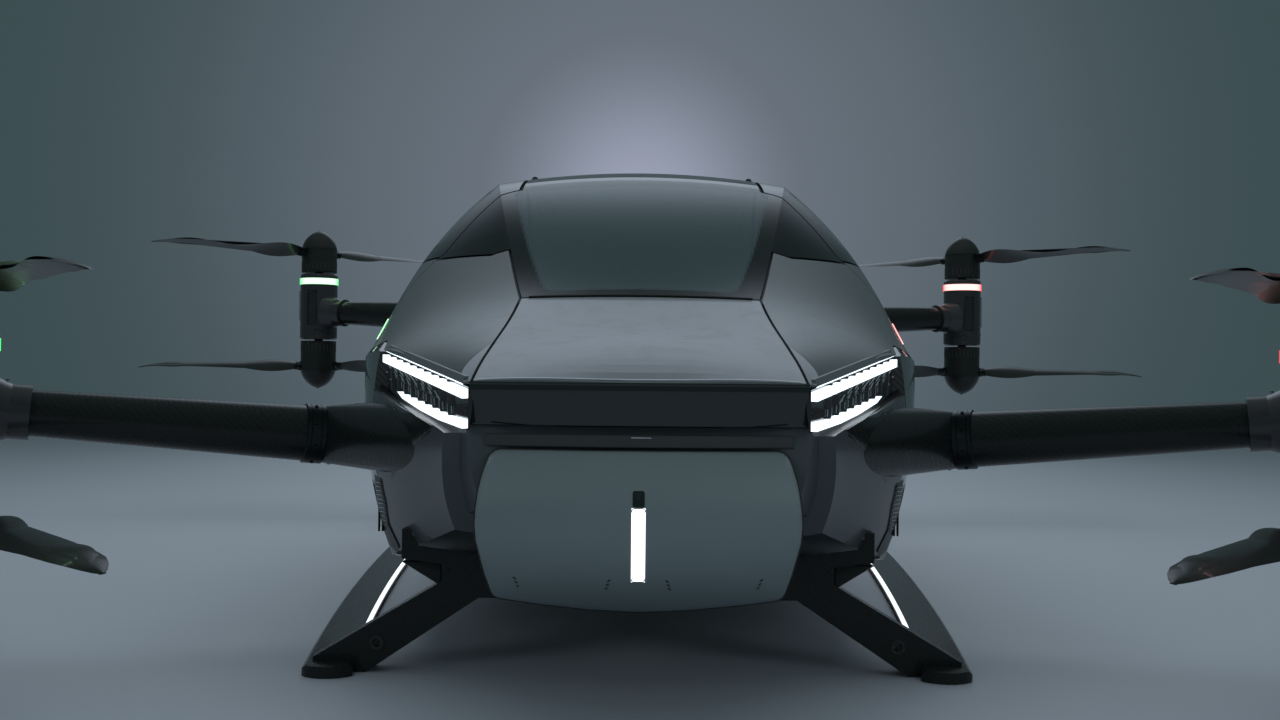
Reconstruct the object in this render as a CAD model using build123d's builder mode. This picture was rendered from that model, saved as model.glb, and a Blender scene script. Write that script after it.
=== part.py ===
"""Two-seat flying car on skids, with four arms and eight two-blade propellers.

All sizes are in millimetres. +X is the vehicle's left (port) side, the nose points
to -Y and +Z is up. The origin lies on the ground, midway between the four hub axes.
"""
import math
import os
from collections import namedtuple

from build123d import *

os.makedirs("parts", exist_ok=True)

# Fits
clearance = 0.3        # running and seating clearance between neighbours
shut_gap = 6.0         # visible gap round doors, hood and lamps
rotor_gap = 8.0        # gap between a turning motor can and its pod

# Walls
wall = 35.0            # doors, fenders and body panels
hood_wall = 15.0
glass = 10.0

# Rotors and arms
hub_x = 1540.0         # hub axis from the centre line
hub_y = 1635.0         # hub axis ahead of and behind the origin
prop_radius = 850.0
front_arm_z = 602.0    # arm axis height at the pod
rear_arm_z = 977.0
pod_radius = 86.0
pod_top = 179.0        # pod body above and below the arm axis
pod_bottom = -131.0
prop_rise = 282.0      # blade plane above the arm axis
prop_drop = -258.0     # blade plane below the arm axis
spinner_length = 105.0
ring_low = 129.0       # lit ring above the arm axis
ring_high = 158.0
ring_proud = 4.0
shaft_radius = 20.0
shaft_depth = 32.0

# Body
split_z = 420.0        # joint between lower hull and upper panels
belt_z = 1010.0        # lower edge of the side glass
cowl_y = -1380.0       # joint between hood and windscreen
header_y = -600.0      # joint between windscreen and roof panel
door_front_y = -930.0
door_rear_y = 580.0
hinge_x = 360.0
hinge_z = 1345.0
front_cone = 1.12      # slope of the door's upper front edge about the hinge line
rear_cone = 3.2        # slope of the door's upper rear edge about the hinge line
rear_apex_y = 450.0
floor_top = 325.0
firewall_y = -1330.0
bulkhead_y = 640.0
nose_y = -1925.0       # flat front of the hull's nose core
across = 1500.0        # half length of cutting blocks, beyond the body all round

# Cross-sections of the body, nose to tail. Each row gives the height of the top line,
# then half-width and height of five points down the side, then the keel's height.
Station = namedtuple(
    "Station",
    "y top edge_x edge_z flank_x flank_z waist_x waist_z sill_x sill_z floor_x floor_z keel",
)
stations = [
    Station(-1990, 672, 336, 666, 352, 641, 360, 600, 362, 520, 330, 400, 372),
    Station(-1690, 775, 314, 769, 400, 740, 477, 694, 497, 480, 440, 330, 290),
    Station(-1390, 876, 293, 871, 468, 825, 632, 746, 640, 450, 580, 250, 222),
    Station(-1090, 1062, 350, 1027, 606, 888, 733, 728, 712, 430, 655, 215, 200),
    Station(-800, 1222, 405, 1187, 672, 950, 756, 715, 730, 430, 668, 222, 200),
    Station(-450, 1330, 452, 1292, 662, 1045, 758, 710, 728, 440, 655, 245, 205),
    Station(0, 1360, 470, 1312, 680, 1050, 760, 720, 720, 450, 640, 275, 215),
    Station(300, 1350, 464, 1301, 664, 1043, 744, 724, 700, 460, 620, 290, 230),
    Station(600, 1325, 452, 1277, 640, 1030, 720, 730, 672, 475, 590, 310, 250),
    Station(1000, 1250, 420, 1203, 592, 1003, 652, 738, 602, 505, 518, 350, 295),
    Station(1450, 1112, 348, 1072, 492, 942, 545, 750, 504, 566, 432, 440, 398),
    Station(1900, 950, 260, 930, 355, 865, 400, 760, 380, 640, 330, 545, 525),
]
tail_start = 8         # the row where the cabin ends and the tail begins


def drawn_in(points, inset):
    """Points of a section moved inwards by the inset, square to its sides."""
    moved = [(0.0, points[0][1] - inset)]
    for before, here, after in zip(points, points[1:], points[2:]):
        first = Vector(here[0] - before[0], here[1] - before[1]).normalized()
        second = Vector(after[0] - here[0], after[1] - here[1]).normalized()
        inward = (Vector(first.Y, -first.X) + Vector(second.Y, -second.X)).normalized()
        reach = inset / max(inward.dot(Vector(first.Y, -first.X)), 0.5)
        moved.append((here[0] + inward.X * reach, here[1] + inward.Y * reach))
    moved.append((0.0, points[-1][1] + inset))
    return moved


def body_form(inset):
    """Solid of the whole body, drawn in by the inset all round its sections."""
    with BuildPart() as form:
        add(body_length(inset, stations[:tail_start + 1]))
        add(body_length(inset, stations[tail_start:]))
    return form.part


def body_length(inset, rows):
    """Solid of one length of the body, through the given rows."""
    with BuildPart() as form:
        for row in rows:
            side = [
                (0, row.top),
                (row.edge_x, row.edge_z),
                (row.flank_x, row.flank_z),
                (row.waist_x, row.waist_z),
                (row.sill_x, row.sill_z),
                (row.floor_x, row.floor_z),
                (0, row.keel),
            ]
            top, edge, flank, waist, sill, floor, keel = drawn_in(side, inset)
            other = [(-x, z) for x, z in (edge, flank, waist, sill, floor)]
            with BuildSketch(Plane.XZ.offset(-row.y)):
                with BuildLine():
                    ThreePointArc(other[0], top, edge)
                    ThreePointArc(edge, flank, waist)
                    ThreePointArc(waist, sill, floor)
                    ThreePointArc(floor, keel, other[4])
                    ThreePointArc(other[4], other[3], other[2])
                    ThreePointArc(other[2], other[1], other[0])
                make_face()
        loft()
    return form.part


def side_block(points, reach=across):
    """Block across the body whose outline is drawn from the side, as (y, z)."""
    with BuildPart() as block:
        with BuildSketch(Plane.YZ):
            with BuildLine():
                Polyline(*points, close=True)
            make_face()
        extrude(amount=reach, both=True)
    return block.part


def plan_block(points, low=0.0, high=across):
    """Upright block whose outline is drawn from above, as (x, y)."""
    with BuildPart() as block:
        with BuildSketch(Plane.XY.offset(low)):
            with BuildLine():
                Polyline(*points, close=True)
            make_face()
        extrude(amount=high - low)
    return block.part


def span_block(x_range, y_range, z_range):
    """Block between two corners, given as ranges along each axis."""
    with BuildPart() as block:
        with Locations((x_range[0], y_range[0], z_range[0])):
            Box(
                x_range[1] - x_range[0],
                y_range[1] - y_range[0],
                z_range[1] - z_range[0],
                align=(Align.MIN, Align.MIN, Align.MIN),
            )
    return block.part


def hinge_cone(apex_y, slope, forwards):
    """Cone about the left door's hinge line, from its apex towards nose or tail."""
    length = 420.0
    turn = -90 if forwards else 90
    base_y = apex_y - length if forwards else apex_y + length
    with BuildPart() as cone:
        with Locations(Location((hinge_x, base_y, hinge_z), (turn, 0, 0))):
            Cone(slope * length, 0, length, align=(Align.CENTER, Align.CENTER, Align.MIN))
    return cone.part


def both_sides(shape):
    """The shape with its mirror image on the other side of the vehicle."""
    with BuildPart() as pair:
        add(shape)
        mirror(shape, about=Plane.YZ)
    return pair.part


def finish(piece, name):
    """Label a finished piece and write it."""
    piece.part.label = name
    export_step(piece.part, f"parts/{name}.step")


# Master forms of the body, from the outside inwards
outer = body_form(0)
under_hood = body_form(hood_wall + clearance)
under_glass = body_form(glass)
frame_face = body_form(glass + clearance)
inner = body_form(wall)
core_face = body_form(wall + clearance)

left_half = span_block((0, across), (-2 * across, 2 * across), (-across, 2 * across))
cavity_space = span_block((-across, across), (firewall_y, bulkhead_y), (floor_top, 2 * across))

with BuildPart() as cavity:
    add(inner)
    add(cavity_space, mode=Mode.INTERSECT)

# Zones of the body's skin
hood_front_y = -1988.0
hood_low_z = 560.0
hood_corner_y = -1962.0
hood_front_x = 334.0
hood_rear_x = 292.0
crease_top_x = 349.0
crease_top_y = -1095.0


def hood_zone(margin):
    """Plan of the hood, grown by the margin."""
    with BuildPart() as zone:
        with BuildSketch(Plane.XY.offset(hood_low_z)):
            with BuildLine():
                left = (hood_front_x + margin, hood_corner_y)
                right = (-hood_front_x - margin, hood_corner_y)
                ThreePointArc(right, (0, hood_front_y), left)
                Polyline(
                    left,
                    (hood_rear_x + margin, cowl_y + margin),
                    (-hood_rear_x - margin, cowl_y + margin),
                    right,
                )
            make_face()
        extrude(amount=across)
    return zone.part


def glazing_zone(margin, rear_y):
    """Windscreen and pillars: inside the roof creases, then above the belt line."""
    low_y = cowl_y + shut_gap - margin
    with BuildPart() as zone:
        add(plan_block([
            (hood_rear_x + margin, low_y),
            (crease_top_x + margin, crease_top_y),
            (crease_top_x + margin, rear_y),
            (-crease_top_x - margin, rear_y),
            (-crease_top_x - margin, crease_top_y),
            (-hood_rear_x - margin, low_y),
        ], split_z, 2 * across))
        add(span_block((-across, across), (crease_top_y - margin, rear_y), (belt_z - margin, 2 * across)))
    return zone.part


def beside_doors(margin):
    """Space that the doors leave to the fixed panels above the belt, both sides."""
    shift_front = margin * math.hypot(1, front_cone) / front_cone
    shift_rear = margin * math.hypot(1, rear_cone) / rear_cone
    with BuildPart() as space:
        add(hinge_cone(header_y - shift_front, front_cone, True))
        add(hinge_cone(rear_apex_y + shift_rear, rear_cone, False))
    return both_sides(space.part)


roof_half = hinge_x - shut_gap
fixed_cones = beside_doors(shut_gap)
mid_strip = span_block((-roof_half, roof_half), (-2 * across, 2 * across), (0, 2 * across))
ahead_of_door = span_block((-across, across), (-2 * across, door_front_y - shut_gap), (0, 2 * across))
behind_door = span_block((-across, across), (door_rear_y + shut_gap, 2 * across), (0, 2 * across))

with BuildPart() as fixed_zone:
    add(fixed_cones)
    add(mid_strip)
    add(ahead_of_door)
    add(behind_door)

with BuildPart() as door_zone:
    add(span_block(
        (hinge_x + shut_gap, across),
        (door_front_y, door_rear_y),
        (split_z + shut_gap, 2 * across),
    ))
    add(hinge_cone(header_y, front_cone, True), mode=Mode.SUBTRACT)
    add(hinge_cone(rear_apex_y, rear_cone, False), mode=Mode.SUBTRACT)

# Lines of the front, seen from the side
lamp_top = [(-1990, 665), (-1420, 744), (-1300, 772), (-1120, 722), (door_front_y, 600)]
lamp_rear_y = -1390.0

with BuildPart() as fender_left:
    add(outer)
    add(inner, mode=Mode.SUBTRACT)
    add(side_block(lamp_top + [(door_front_y, 2 * across), (-1990, 2 * across)]), mode=Mode.INTERSECT)
    add(span_block(
        (0, across),
        (hood_corner_y, door_front_y - shut_gap),
        (0, 2 * across),
    ), mode=Mode.INTERSECT)
    add(hood_zone(shut_gap), mode=Mode.SUBTRACT)
    add(glazing_zone(shut_gap, 0.0), mode=Mode.SUBTRACT)
finish(fender_left, "fender_left")

with BuildPart() as fender_right:
    mirror(fender_left.part, about=Plane.YZ)
finish(fender_right, "fender_right")

with BuildPart() as hood:
    add(outer)
    add(body_form(hood_wall), mode=Mode.SUBTRACT)
    add(hood_zone(0.0), mode=Mode.INTERSECT)
finish(hood, "hood")

# Windscreen over its frame, which forms the front pillars
window_low_y = -1335.0
window_high_y = -665.0
window_low_x = 235.0
window_high_x = 318.0

with BuildPart() as windscreen:
    add(outer)
    add(under_glass, mode=Mode.SUBTRACT)
    add(glazing_zone(0.0, header_y), mode=Mode.INTERSECT)
    add(fixed_zone.part, mode=Mode.INTERSECT)
finish(windscreen, "windscreen")

with BuildPart() as windscreen_frame:
    add(frame_face)
    add(inner, mode=Mode.SUBTRACT)
    add(glazing_zone(shut_gap - clearance, header_y + shut_gap - clearance), mode=Mode.INTERSECT)
    add(fixed_zone.part, mode=Mode.INTERSECT)
    add(plan_block([
        (window_low_x, window_low_y),
        (window_high_x, window_high_y),
        (-window_high_x, window_high_y),
        (-window_low_x, window_low_y),
    ], split_z, 2 * across), mode=Mode.SUBTRACT)
finish(windscreen_frame, "windscreen_frame")

# Roof panel with hinge ears and pins
hinge_stations = (-150.0, 150.0)
knuckle_width = 50.0
ear_width = 20.0
knuckle_radius = 11.0
pin_radius = 5.7
leaf_reach = 50.0      # webs from the hinge line to the skin
pin_bore = pin_radius + clearance


def hinge_leaf(y, width, reach):
    """Web from the hinge line to the skin beside it, at one station."""
    low = 1304.0
    with BuildPart() as leaf:
        with BuildSketch(Plane.XZ.offset(-y)):
            with BuildLine():
                Polyline(
                    (hinge_x, hinge_z + knuckle_radius),
                    (hinge_x + reach, low + wall / 4),
                    (hinge_x + reach, low),
                    (hinge_x + reach / 5, low),
                    (hinge_x, hinge_z - knuckle_radius),
                    close=True,
                )
            make_face()
            with Locations((hinge_x, hinge_z)):
                Circle(knuckle_radius)
        extrude(amount=width / 2, both=True)
    return leaf.part


with BuildPart() as roof_panel:
    add(outer)
    add(inner, mode=Mode.SUBTRACT)
    add(span_block(
        (-roof_half, roof_half),
        (header_y + shut_gap, door_rear_y),
        (belt_z, 2 * across),
    ), mode=Mode.INTERSECT)
    for hinge_y in hinge_stations:
        ear_offset = (knuckle_width + ear_width) / 2 + clearance
        for ear_y in (hinge_y - ear_offset, hinge_y + ear_offset):
            add(both_sides(hinge_leaf(ear_y, ear_width, -leaf_reach)))
        with Locations(
            Location((hinge_x, hinge_y, hinge_z), (90, 0, 0)),
            Location((-hinge_x, hinge_y, hinge_z), (90, 0, 0)),
        ):
            Cylinder(pin_radius, knuckle_width + 2 * ear_width)
finish(roof_panel, "roof_panel")

# Doors: glass over the upper frame, hinged at the roof
window_side = [(-800, 1065), (502, 1065), (417, 1262), (-590, 1262)]

with BuildPart() as glass_seat:
    add(outer)
    add(frame_face, mode=Mode.SUBTRACT)
    add(span_block((0, across), (-across, across), (belt_z, 2 * across)), mode=Mode.INTERSECT)

with BuildPart() as door_left:
    add(outer)
    add(inner, mode=Mode.SUBTRACT)
    add(door_zone.part, mode=Mode.INTERSECT)
    add(glass_seat.part, mode=Mode.SUBTRACT)
    add(side_block(window_side), mode=Mode.SUBTRACT)
    for hinge_y in hinge_stations:
        add(hinge_leaf(hinge_y, knuckle_width, leaf_reach))
        with Locations(Location((hinge_x, hinge_y, hinge_z), (90, 0, 0))):
            Cylinder(pin_bore, knuckle_width + ear_width, mode=Mode.SUBTRACT)
finish(door_left, "door_left")

with BuildPart() as door_right:
    mirror(door_left.part, about=Plane.YZ)
finish(door_right, "door_right")

with BuildPart() as door_glass_left:
    add(outer)
    add(under_glass, mode=Mode.SUBTRACT)
    add(door_zone.part, mode=Mode.INTERSECT)
    add(span_block((0, across), (-across, across), (belt_z + shut_gap, 2 * across)), mode=Mode.INTERSECT)
    for hinge_y in hinge_stations:
        add(span_block(
            (hinge_x, hinge_x + leaf_reach + 2),
            (hinge_y - knuckle_width / 2 - 2, hinge_y + knuckle_width / 2 + 2),
            (belt_z, 2 * across),
        ), mode=Mode.SUBTRACT)
finish(door_glass_left, "door_glass_left")

with BuildPart() as door_glass_right:
    mirror(door_glass_left.part, about=Plane.YZ)
finish(door_glass_right, "door_glass_right")

# Carbon panels behind the lamps, standing on the lower hull
with BuildPart() as side_panels:
    add(outer)
    add(inner, mode=Mode.SUBTRACT)
    add(side_block([
        (lamp_rear_y + shut_gap, split_z + clearance),
        (lamp_rear_y + shut_gap, 742),
        (-1300, 766),
        (-1120, 716),
        (door_front_y - shut_gap, 594),
        (door_front_y - shut_gap, split_z + clearance),
    ]), mode=Mode.INTERSECT)
finish(side_panels, "side_panels")

# Lower hull: tub under the cabin, tail underside and nose core
cheek_rear_y = -1345.0
chin_half = 250.0
chin_front_y = -1870.0
chin_top_z = 400.0

with BuildPart() as nose_core:
    add(core_face)
    add(span_block((-across, across), (nose_y, firewall_y), (0, 2 * across)), mode=Mode.INTERSECT)
    add(span_block((-across, across), (-2 * across, chin_front_y), (0, chin_top_z)), mode=Mode.SUBTRACT)

with BuildPart() as hood_bed:
    add(under_hood)
    add(hood_zone(-4 * shut_gap), mode=Mode.INTERSECT)
    add(span_block((-across, across), (nose_y, cowl_y), (0, 2 * across)), mode=Mode.INTERSECT)

# Side vents: louvred inserts in flat pockets of the lower hull
vent_front_y = -1300.0
vent_rear_y = -1190.0
vent_low_z = 292.0
vent_high_z = 410.0
vent_x = 640.0         # depth of the pocket's floor
vent_front_x = 654.0   # outer face of the louvres, ahead and behind
vent_rear_x = 676.0
vent_floor = 4.0
louvre_count = 6
louvre_thickness = 6.0
vent_space = both_sides(span_block((vent_x, across), (vent_front_y, vent_rear_y), (vent_low_z, vent_high_z)))

with BuildPart() as lower_hull:
    add(outer)
    add(span_block(
        (-across, across),
        (cheek_rear_y + clearance, 2 * across),
        (0, split_z),
    ), mode=Mode.INTERSECT)
    add(nose_core.part)
    add(hood_bed.part)
    add(side_block([
        (chin_front_y, chin_top_z),
        (chin_front_y, 238),
        (cheek_rear_y, 226),
        (cheek_rear_y, chin_top_z),
    ], chin_half))
    add(cavity.part, mode=Mode.SUBTRACT)
    add(vent_space, mode=Mode.SUBTRACT)
finish(lower_hull, "lower_hull")

with BuildPart() as side_vents:
    front_y = vent_front_y + clearance
    rear_y = vent_rear_y - clearance
    add(span_block(
        (vent_x + clearance, vent_x + vent_floor),
        (front_y, rear_y),
        (vent_low_z + clearance, vent_high_z - clearance),
    ))
    louvre_pitch = (vent_high_z - vent_low_z) / louvre_count
    for index in range(louvre_count):
        low = vent_low_z + (index + 0.5) * louvre_pitch - louvre_thickness / 2
        slope = (low - vent_low_z) / 8 - 12
        add(plan_block([
            (vent_x + clearance, front_y),
            (vent_front_x + slope, front_y),
            (vent_rear_x + slope, rear_y),
            (vent_x + clearance, rear_y),
        ], low, low + louvre_thickness))
    mirror(about=Plane.YZ)
finish(side_vents, "side_vents")

# Cheeks below the lamps
with BuildPart() as cheeks:
    add(outer)
    add(inner, mode=Mode.SUBTRACT)
    add(side_block([
        (-1885, 568),
        (-1490, 632),
        (lamp_rear_y, 646),
        (lamp_rear_y, split_z - shut_gap),
        (cheek_rear_y, split_z - shut_gap),
        (cheek_rear_y, 246),
        (-1790, 352),
    ]), mode=Mode.INTERSECT)
    add(span_block(
        (-chin_half - shut_gap, chin_half + shut_gap),
        (-2 * across, 0),
        (0, chin_top_z + wall),
    ), mode=Mode.SUBTRACT)
finish(cheeks, "cheeks")

# Headlamps: finned housings with two light bars each, along a straight line in plan
band_half = 318.0      # half width of the gloss band between the lamps
lamp_recess = 14.0
fin_inset = 6.0
fin_count = 9
fin_pitch = 50.0
fin_thickness = 5.0
fin_front_y = -1880.0
fin_lean = 40.0        # each fin's foot to its head, towards the tail
lamp_inner_end = Vector(356, hood_corner_y)
lamp_outer_end = Vector(632, lamp_rear_y)
upper_bar = [(-1960, 658), (-1400, 734), (-1400, 716), (-1960, 640)]
lower_bar_top = [(-1960, 598), (-1873, 602), (-1763, 615), (-1562, 640), (-1522, 646)]
lower_bar_foot = [(-1562, 631), (-1694, 608), (-1816, 592), (-1960, 580)]
lower_bar = lower_bar_top + lower_bar_foot


def lamp_strip(outside, inside):
    """Upright strip along both lamps between two depths under the body's side."""
    along_lamp = (lamp_outer_end - lamp_inner_end).normalized()
    inward = Vector(-along_lamp.Y, along_lamp.X)
    points = [
        lamp_inner_end + inward * outside,
        lamp_outer_end + inward * outside,
        lamp_outer_end + inward * inside,
        lamp_inner_end + inward * inside,
    ]
    return both_sides(plan_block([(point.X, point.Y) for point in points], split_z, across))


with BuildPart() as fin_blocks:
    for index in range(fin_count):
        fin_y = fin_front_y + index * fin_pitch
        add(side_block([
            (fin_y, 500),
            (fin_y + fin_lean, 800),
            (fin_y + fin_lean + fin_thickness, 800),
            (fin_y + fin_thickness, 500),
        ]))

with BuildPart() as headlamp_housings:
    add(lamp_strip(fin_inset, lamp_recess + 1))
    add(fin_blocks.part, mode=Mode.INTERSECT)
    add(side_block(upper_bar), mode=Mode.SUBTRACT)
    add(side_block(lower_bar), mode=Mode.SUBTRACT)
    add(lamp_strip(lamp_recess, 1.6 * wall))
    add(side_block([
        (hood_corner_y, 662),
        (-1420, 738),
        (lamp_rear_y, 742),
        (lamp_rear_y, 656),
        (-1490, 645),
        (hood_corner_y, 576),
    ]), mode=Mode.INTERSECT)
    add(core_face, mode=Mode.SUBTRACT)
    add(span_block(
        (-band_half - 2 * clearance, band_half + 2 * clearance),
        (-2 * across, nose_y),
        (split_z, across),
    ), mode=Mode.SUBTRACT)
finish(headlamp_housings, "headlamp_housings")

with BuildPart() as headlamp_bars:
    add(side_block(upper_bar))
    add(side_block(lower_bar))
    add(lamp_strip(1.0, lamp_recess - clearance), mode=Mode.INTERSECT)
finish(headlamp_bars, "headlamp_bars")

# Nose: gloss band under the hood and barrel panel with its upright light
panel_axis_y = -1150.0
panel_top_z = 545.0
panel_low_z = 208.0
light_half = 14.0
light_low_z = 280.0
light_high_z = 430.0


def nose_barrel(proud):
    """Solid turned about an upright axis, its side the nose panel's arc."""
    with BuildPart() as barrel:
        with BuildSketch(Plane.YZ):
            with BuildLine():
                ThreePointArc(
                    (-1962 - proud, panel_top_z),
                    (-2020 - proud, 400),
                    (-1906 - proud, panel_low_z),
                )
                Polyline(
                    (-1906 - proud, panel_low_z),
                    (panel_axis_y, panel_low_z),
                    (panel_axis_y, panel_top_z),
                    (-1962 - proud, panel_top_z),
                )
            make_face()
        revolve(axis=Axis((0, panel_axis_y, 0), (0, 0, 1)))
    return barrel.part


with BuildPart() as nose_band:
    add(side_block([
        (-1976, 652),
        (-1948, 584),
        (nose_y - clearance, 584),
        (nose_y - clearance, 652),
    ], band_half))
    chamfer(nose_band.edges().filter_by(Axis.Z).sort_by(Axis.Y)[:2], 8)
finish(nose_band, "nose_band")

with BuildPart() as panel_outline:
    with BuildSketch(Plane.XZ.offset(1700)):
        with BuildLine():
            ThreePointArc((-300, 330), (-322, 405), (-308, 480))
            ThreePointArc((-308, 480), (-285, 530), (-235, panel_top_z))
            Line((-235, panel_top_z), (235, panel_top_z))
            ThreePointArc((235, panel_top_z), (285, 530), (308, 480))
            ThreePointArc((308, 480), (322, 405), (300, 330))
            Polyline((300, 330), (225, panel_low_z), (-225, panel_low_z), (-300, 330))
        make_face()
    extrude(amount=across)

with BuildPart() as light_pocket:
    add(span_block((-light_half, light_half), (-2 * across, nose_y), (light_low_z, light_high_z)))
    add(nose_barrel(-4.0), mode=Mode.SUBTRACT)

with BuildPart() as nose_panel:
    add(nose_barrel(0.0))
    add(panel_outline.part, mode=Mode.INTERSECT)
    add(side_block([
        (-2 * across, 0),
        (chin_front_y - clearance, 0),
        (chin_front_y - clearance, chin_top_z),
        (nose_y - clearance, chin_top_z),
        (nose_y - clearance, across),
        (-2 * across, across),
    ]), mode=Mode.INTERSECT)
    add(light_pocket.part, mode=Mode.SUBTRACT)
finish(nose_panel, "nose_panel")

with BuildPart() as nose_light:
    add(nose_barrel(1.0))
    add(nose_barrel(-4.0 + clearance), mode=Mode.SUBTRACT)
    add(span_block(
        (clearance - light_half, light_half - clearance),
        (-2 * across, nose_y),
        (light_low_z + clearance, light_high_z - clearance),
    ), mode=Mode.INTERSECT)
finish(nose_light, "nose_light")

# Rear shell with the battery's pocket, and the tail light
pocket_half = 290.0
pocket_y = (760.0, 1300.0)
pocket_top = 700.0
tail_y = 1900.0
tail_bar = ((-280.0, 280.0), (812.0, 838.0))
tail_bar_depth = 18.0

with BuildPart() as rear_zone:
    add(hinge_cone(rear_apex_y + shut_gap * math.hypot(1, rear_cone) / rear_cone, rear_cone, False))
    mirror(about=Plane.YZ)
    add(span_block(
        (-roof_half, roof_half),
        (0, door_rear_y + clearance),
        (0, 2 * across),
    ), mode=Mode.SUBTRACT)
    add(span_block((-across, across), (door_rear_y + shut_gap, 2 * across), (0, 2 * across)))
    add(span_block((-roof_half, roof_half), (door_rear_y + clearance, 2 * across), (0, 2 * across)))

with BuildPart() as rear_shell:
    add(outer)
    add(rear_zone.part, mode=Mode.INTERSECT)
    add(span_block(
        (-across, across),
        (0, 2 * across),
        (split_z + clearance, 2 * across),
    ), mode=Mode.INTERSECT)
    add(cavity.part, mode=Mode.SUBTRACT)
    add(span_block((-pocket_half, pocket_half), pocket_y, (split_z, pocket_top)), mode=Mode.SUBTRACT)
    add(span_block(tail_bar[0], (tail_y - tail_bar_depth, 2 * across), tail_bar[1]), mode=Mode.SUBTRACT)
finish(rear_shell, "rear_shell")

with BuildPart() as battery_pack:
    add(span_block(
        (clearance - pocket_half, pocket_half - clearance),
        (pocket_y[0] + clearance, pocket_y[1] - clearance),
        (split_z + clearance, pocket_top - clearance),
    ))
finish(battery_pack, "battery_pack")

with BuildPart() as tail_light:
    add(span_block(
        (tail_bar[0][0] + clearance, tail_bar[0][1] - clearance),
        (tail_y - tail_bar_depth + clearance, tail_y + 2.0),
        (tail_bar[1][0] + clearance, tail_bar[1][1] - clearance),
    ))
finish(tail_light, "tail_light")

# Arms: a fairing on the hull, then a tapered tube to the pod's socket
arm_root_radius = 70.0
arm_tip_radius = 53.5
socket_radius = 64.0
socket_reach = 155.0
collar_width = 44.0
collar_proud = 12.0
fairing_skin = body_form(-clearance)

Arm = namedtuple("Arm", "end root hub fairing_at fairing_half fairing_height")
arms = [
    Arm("front", (790, -1323, 535), (hub_x, -hub_y, front_arm_z), (520, -1510, 540), 350, 92),
    Arm("rear", (760, 1270, 940), (hub_x, hub_y, rear_arm_z), (450, 1230, 925), 270, 88),
]


def arm_direction(arm):
    """Unit vector from the arm's root to its hub."""
    return (Vector(*arm.hub) - Vector(*arm.root)).normalized()


collar_rings = []
for arm in arms:
    along = arm_direction(arm)
    square = Plane(origin=arm.root, z_dir=along)
    tube_end = Vector(*arm.hub) - along * (socket_reach + clearance)
    level = Vector(-along.Y, along.X, 0)
    fairing_plane = Plane(origin=arm.fairing_at, x_dir=level, z_dir=along)
    root_plane = Plane(origin=arm.root, x_dir=level, z_dir=along)
    with BuildPart() as arm_left:
        with BuildSketch(fairing_plane):
            Ellipse(arm.fairing_half, arm.fairing_height)
        with BuildSketch(root_plane):
            Circle(arm_root_radius)
        loft(ruled=True)
        add(fairing_skin, mode=Mode.SUBTRACT)
        with BuildSketch(square):
            Circle(arm_root_radius)
        with BuildSketch(Plane(origin=tube_end, z_dir=along)):
            Circle(arm_tip_radius)
        loft(ruled=True)
    finish(arm_left, f"arm_{arm.end}_left")
    with BuildPart() as arm_right:
        mirror(arm_left.part, about=Plane.YZ)
    finish(arm_right, f"arm_{arm.end}_right")
    with BuildPart() as collar:
        with BuildSketch(square.offset(clearance)):
            Circle(arm_root_radius + collar_proud)
            Circle(arm_root_radius + clearance, mode=Mode.SUBTRACT)
        extrude(amount=collar_width)
    collar_rings.append(collar.part)

with BuildPart() as arm_collars:
    for ring in collar_rings:
        add(both_sides(ring))
finish(arm_collars, "arm_collars")

# Motor pods: turned bodies with a flared socket for the arm and an inset finned cooler
cooler_x = (-3.0, 29.0)   # from the hub's axis, outboard
cooler_z = (-57.0, 96.0)  # from the arm's axis
cooler_depth = 11.0
cooler_fins = 10
cooler_fin_height = 6.0
flare_radius = 84.0       # of the socket, where it leaves the pod
flare_near = 62.0
flare_far = 112.0
bore_radius = shaft_radius + clearance


def pod_rings(arm, proud):
    """Lit ring of one left-hand pod."""
    with BuildPart() as ring:
        with BuildSketch(Plane.XY.offset(arm.hub[2] + ring_low)):
            with Locations(arm.hub[:2]):
                Circle(pod_radius + proud)
                Circle(pod_radius + clearance, mode=Mode.SUBTRACT)
        extrude(amount=ring_high - ring_low)
    return ring.part


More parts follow.
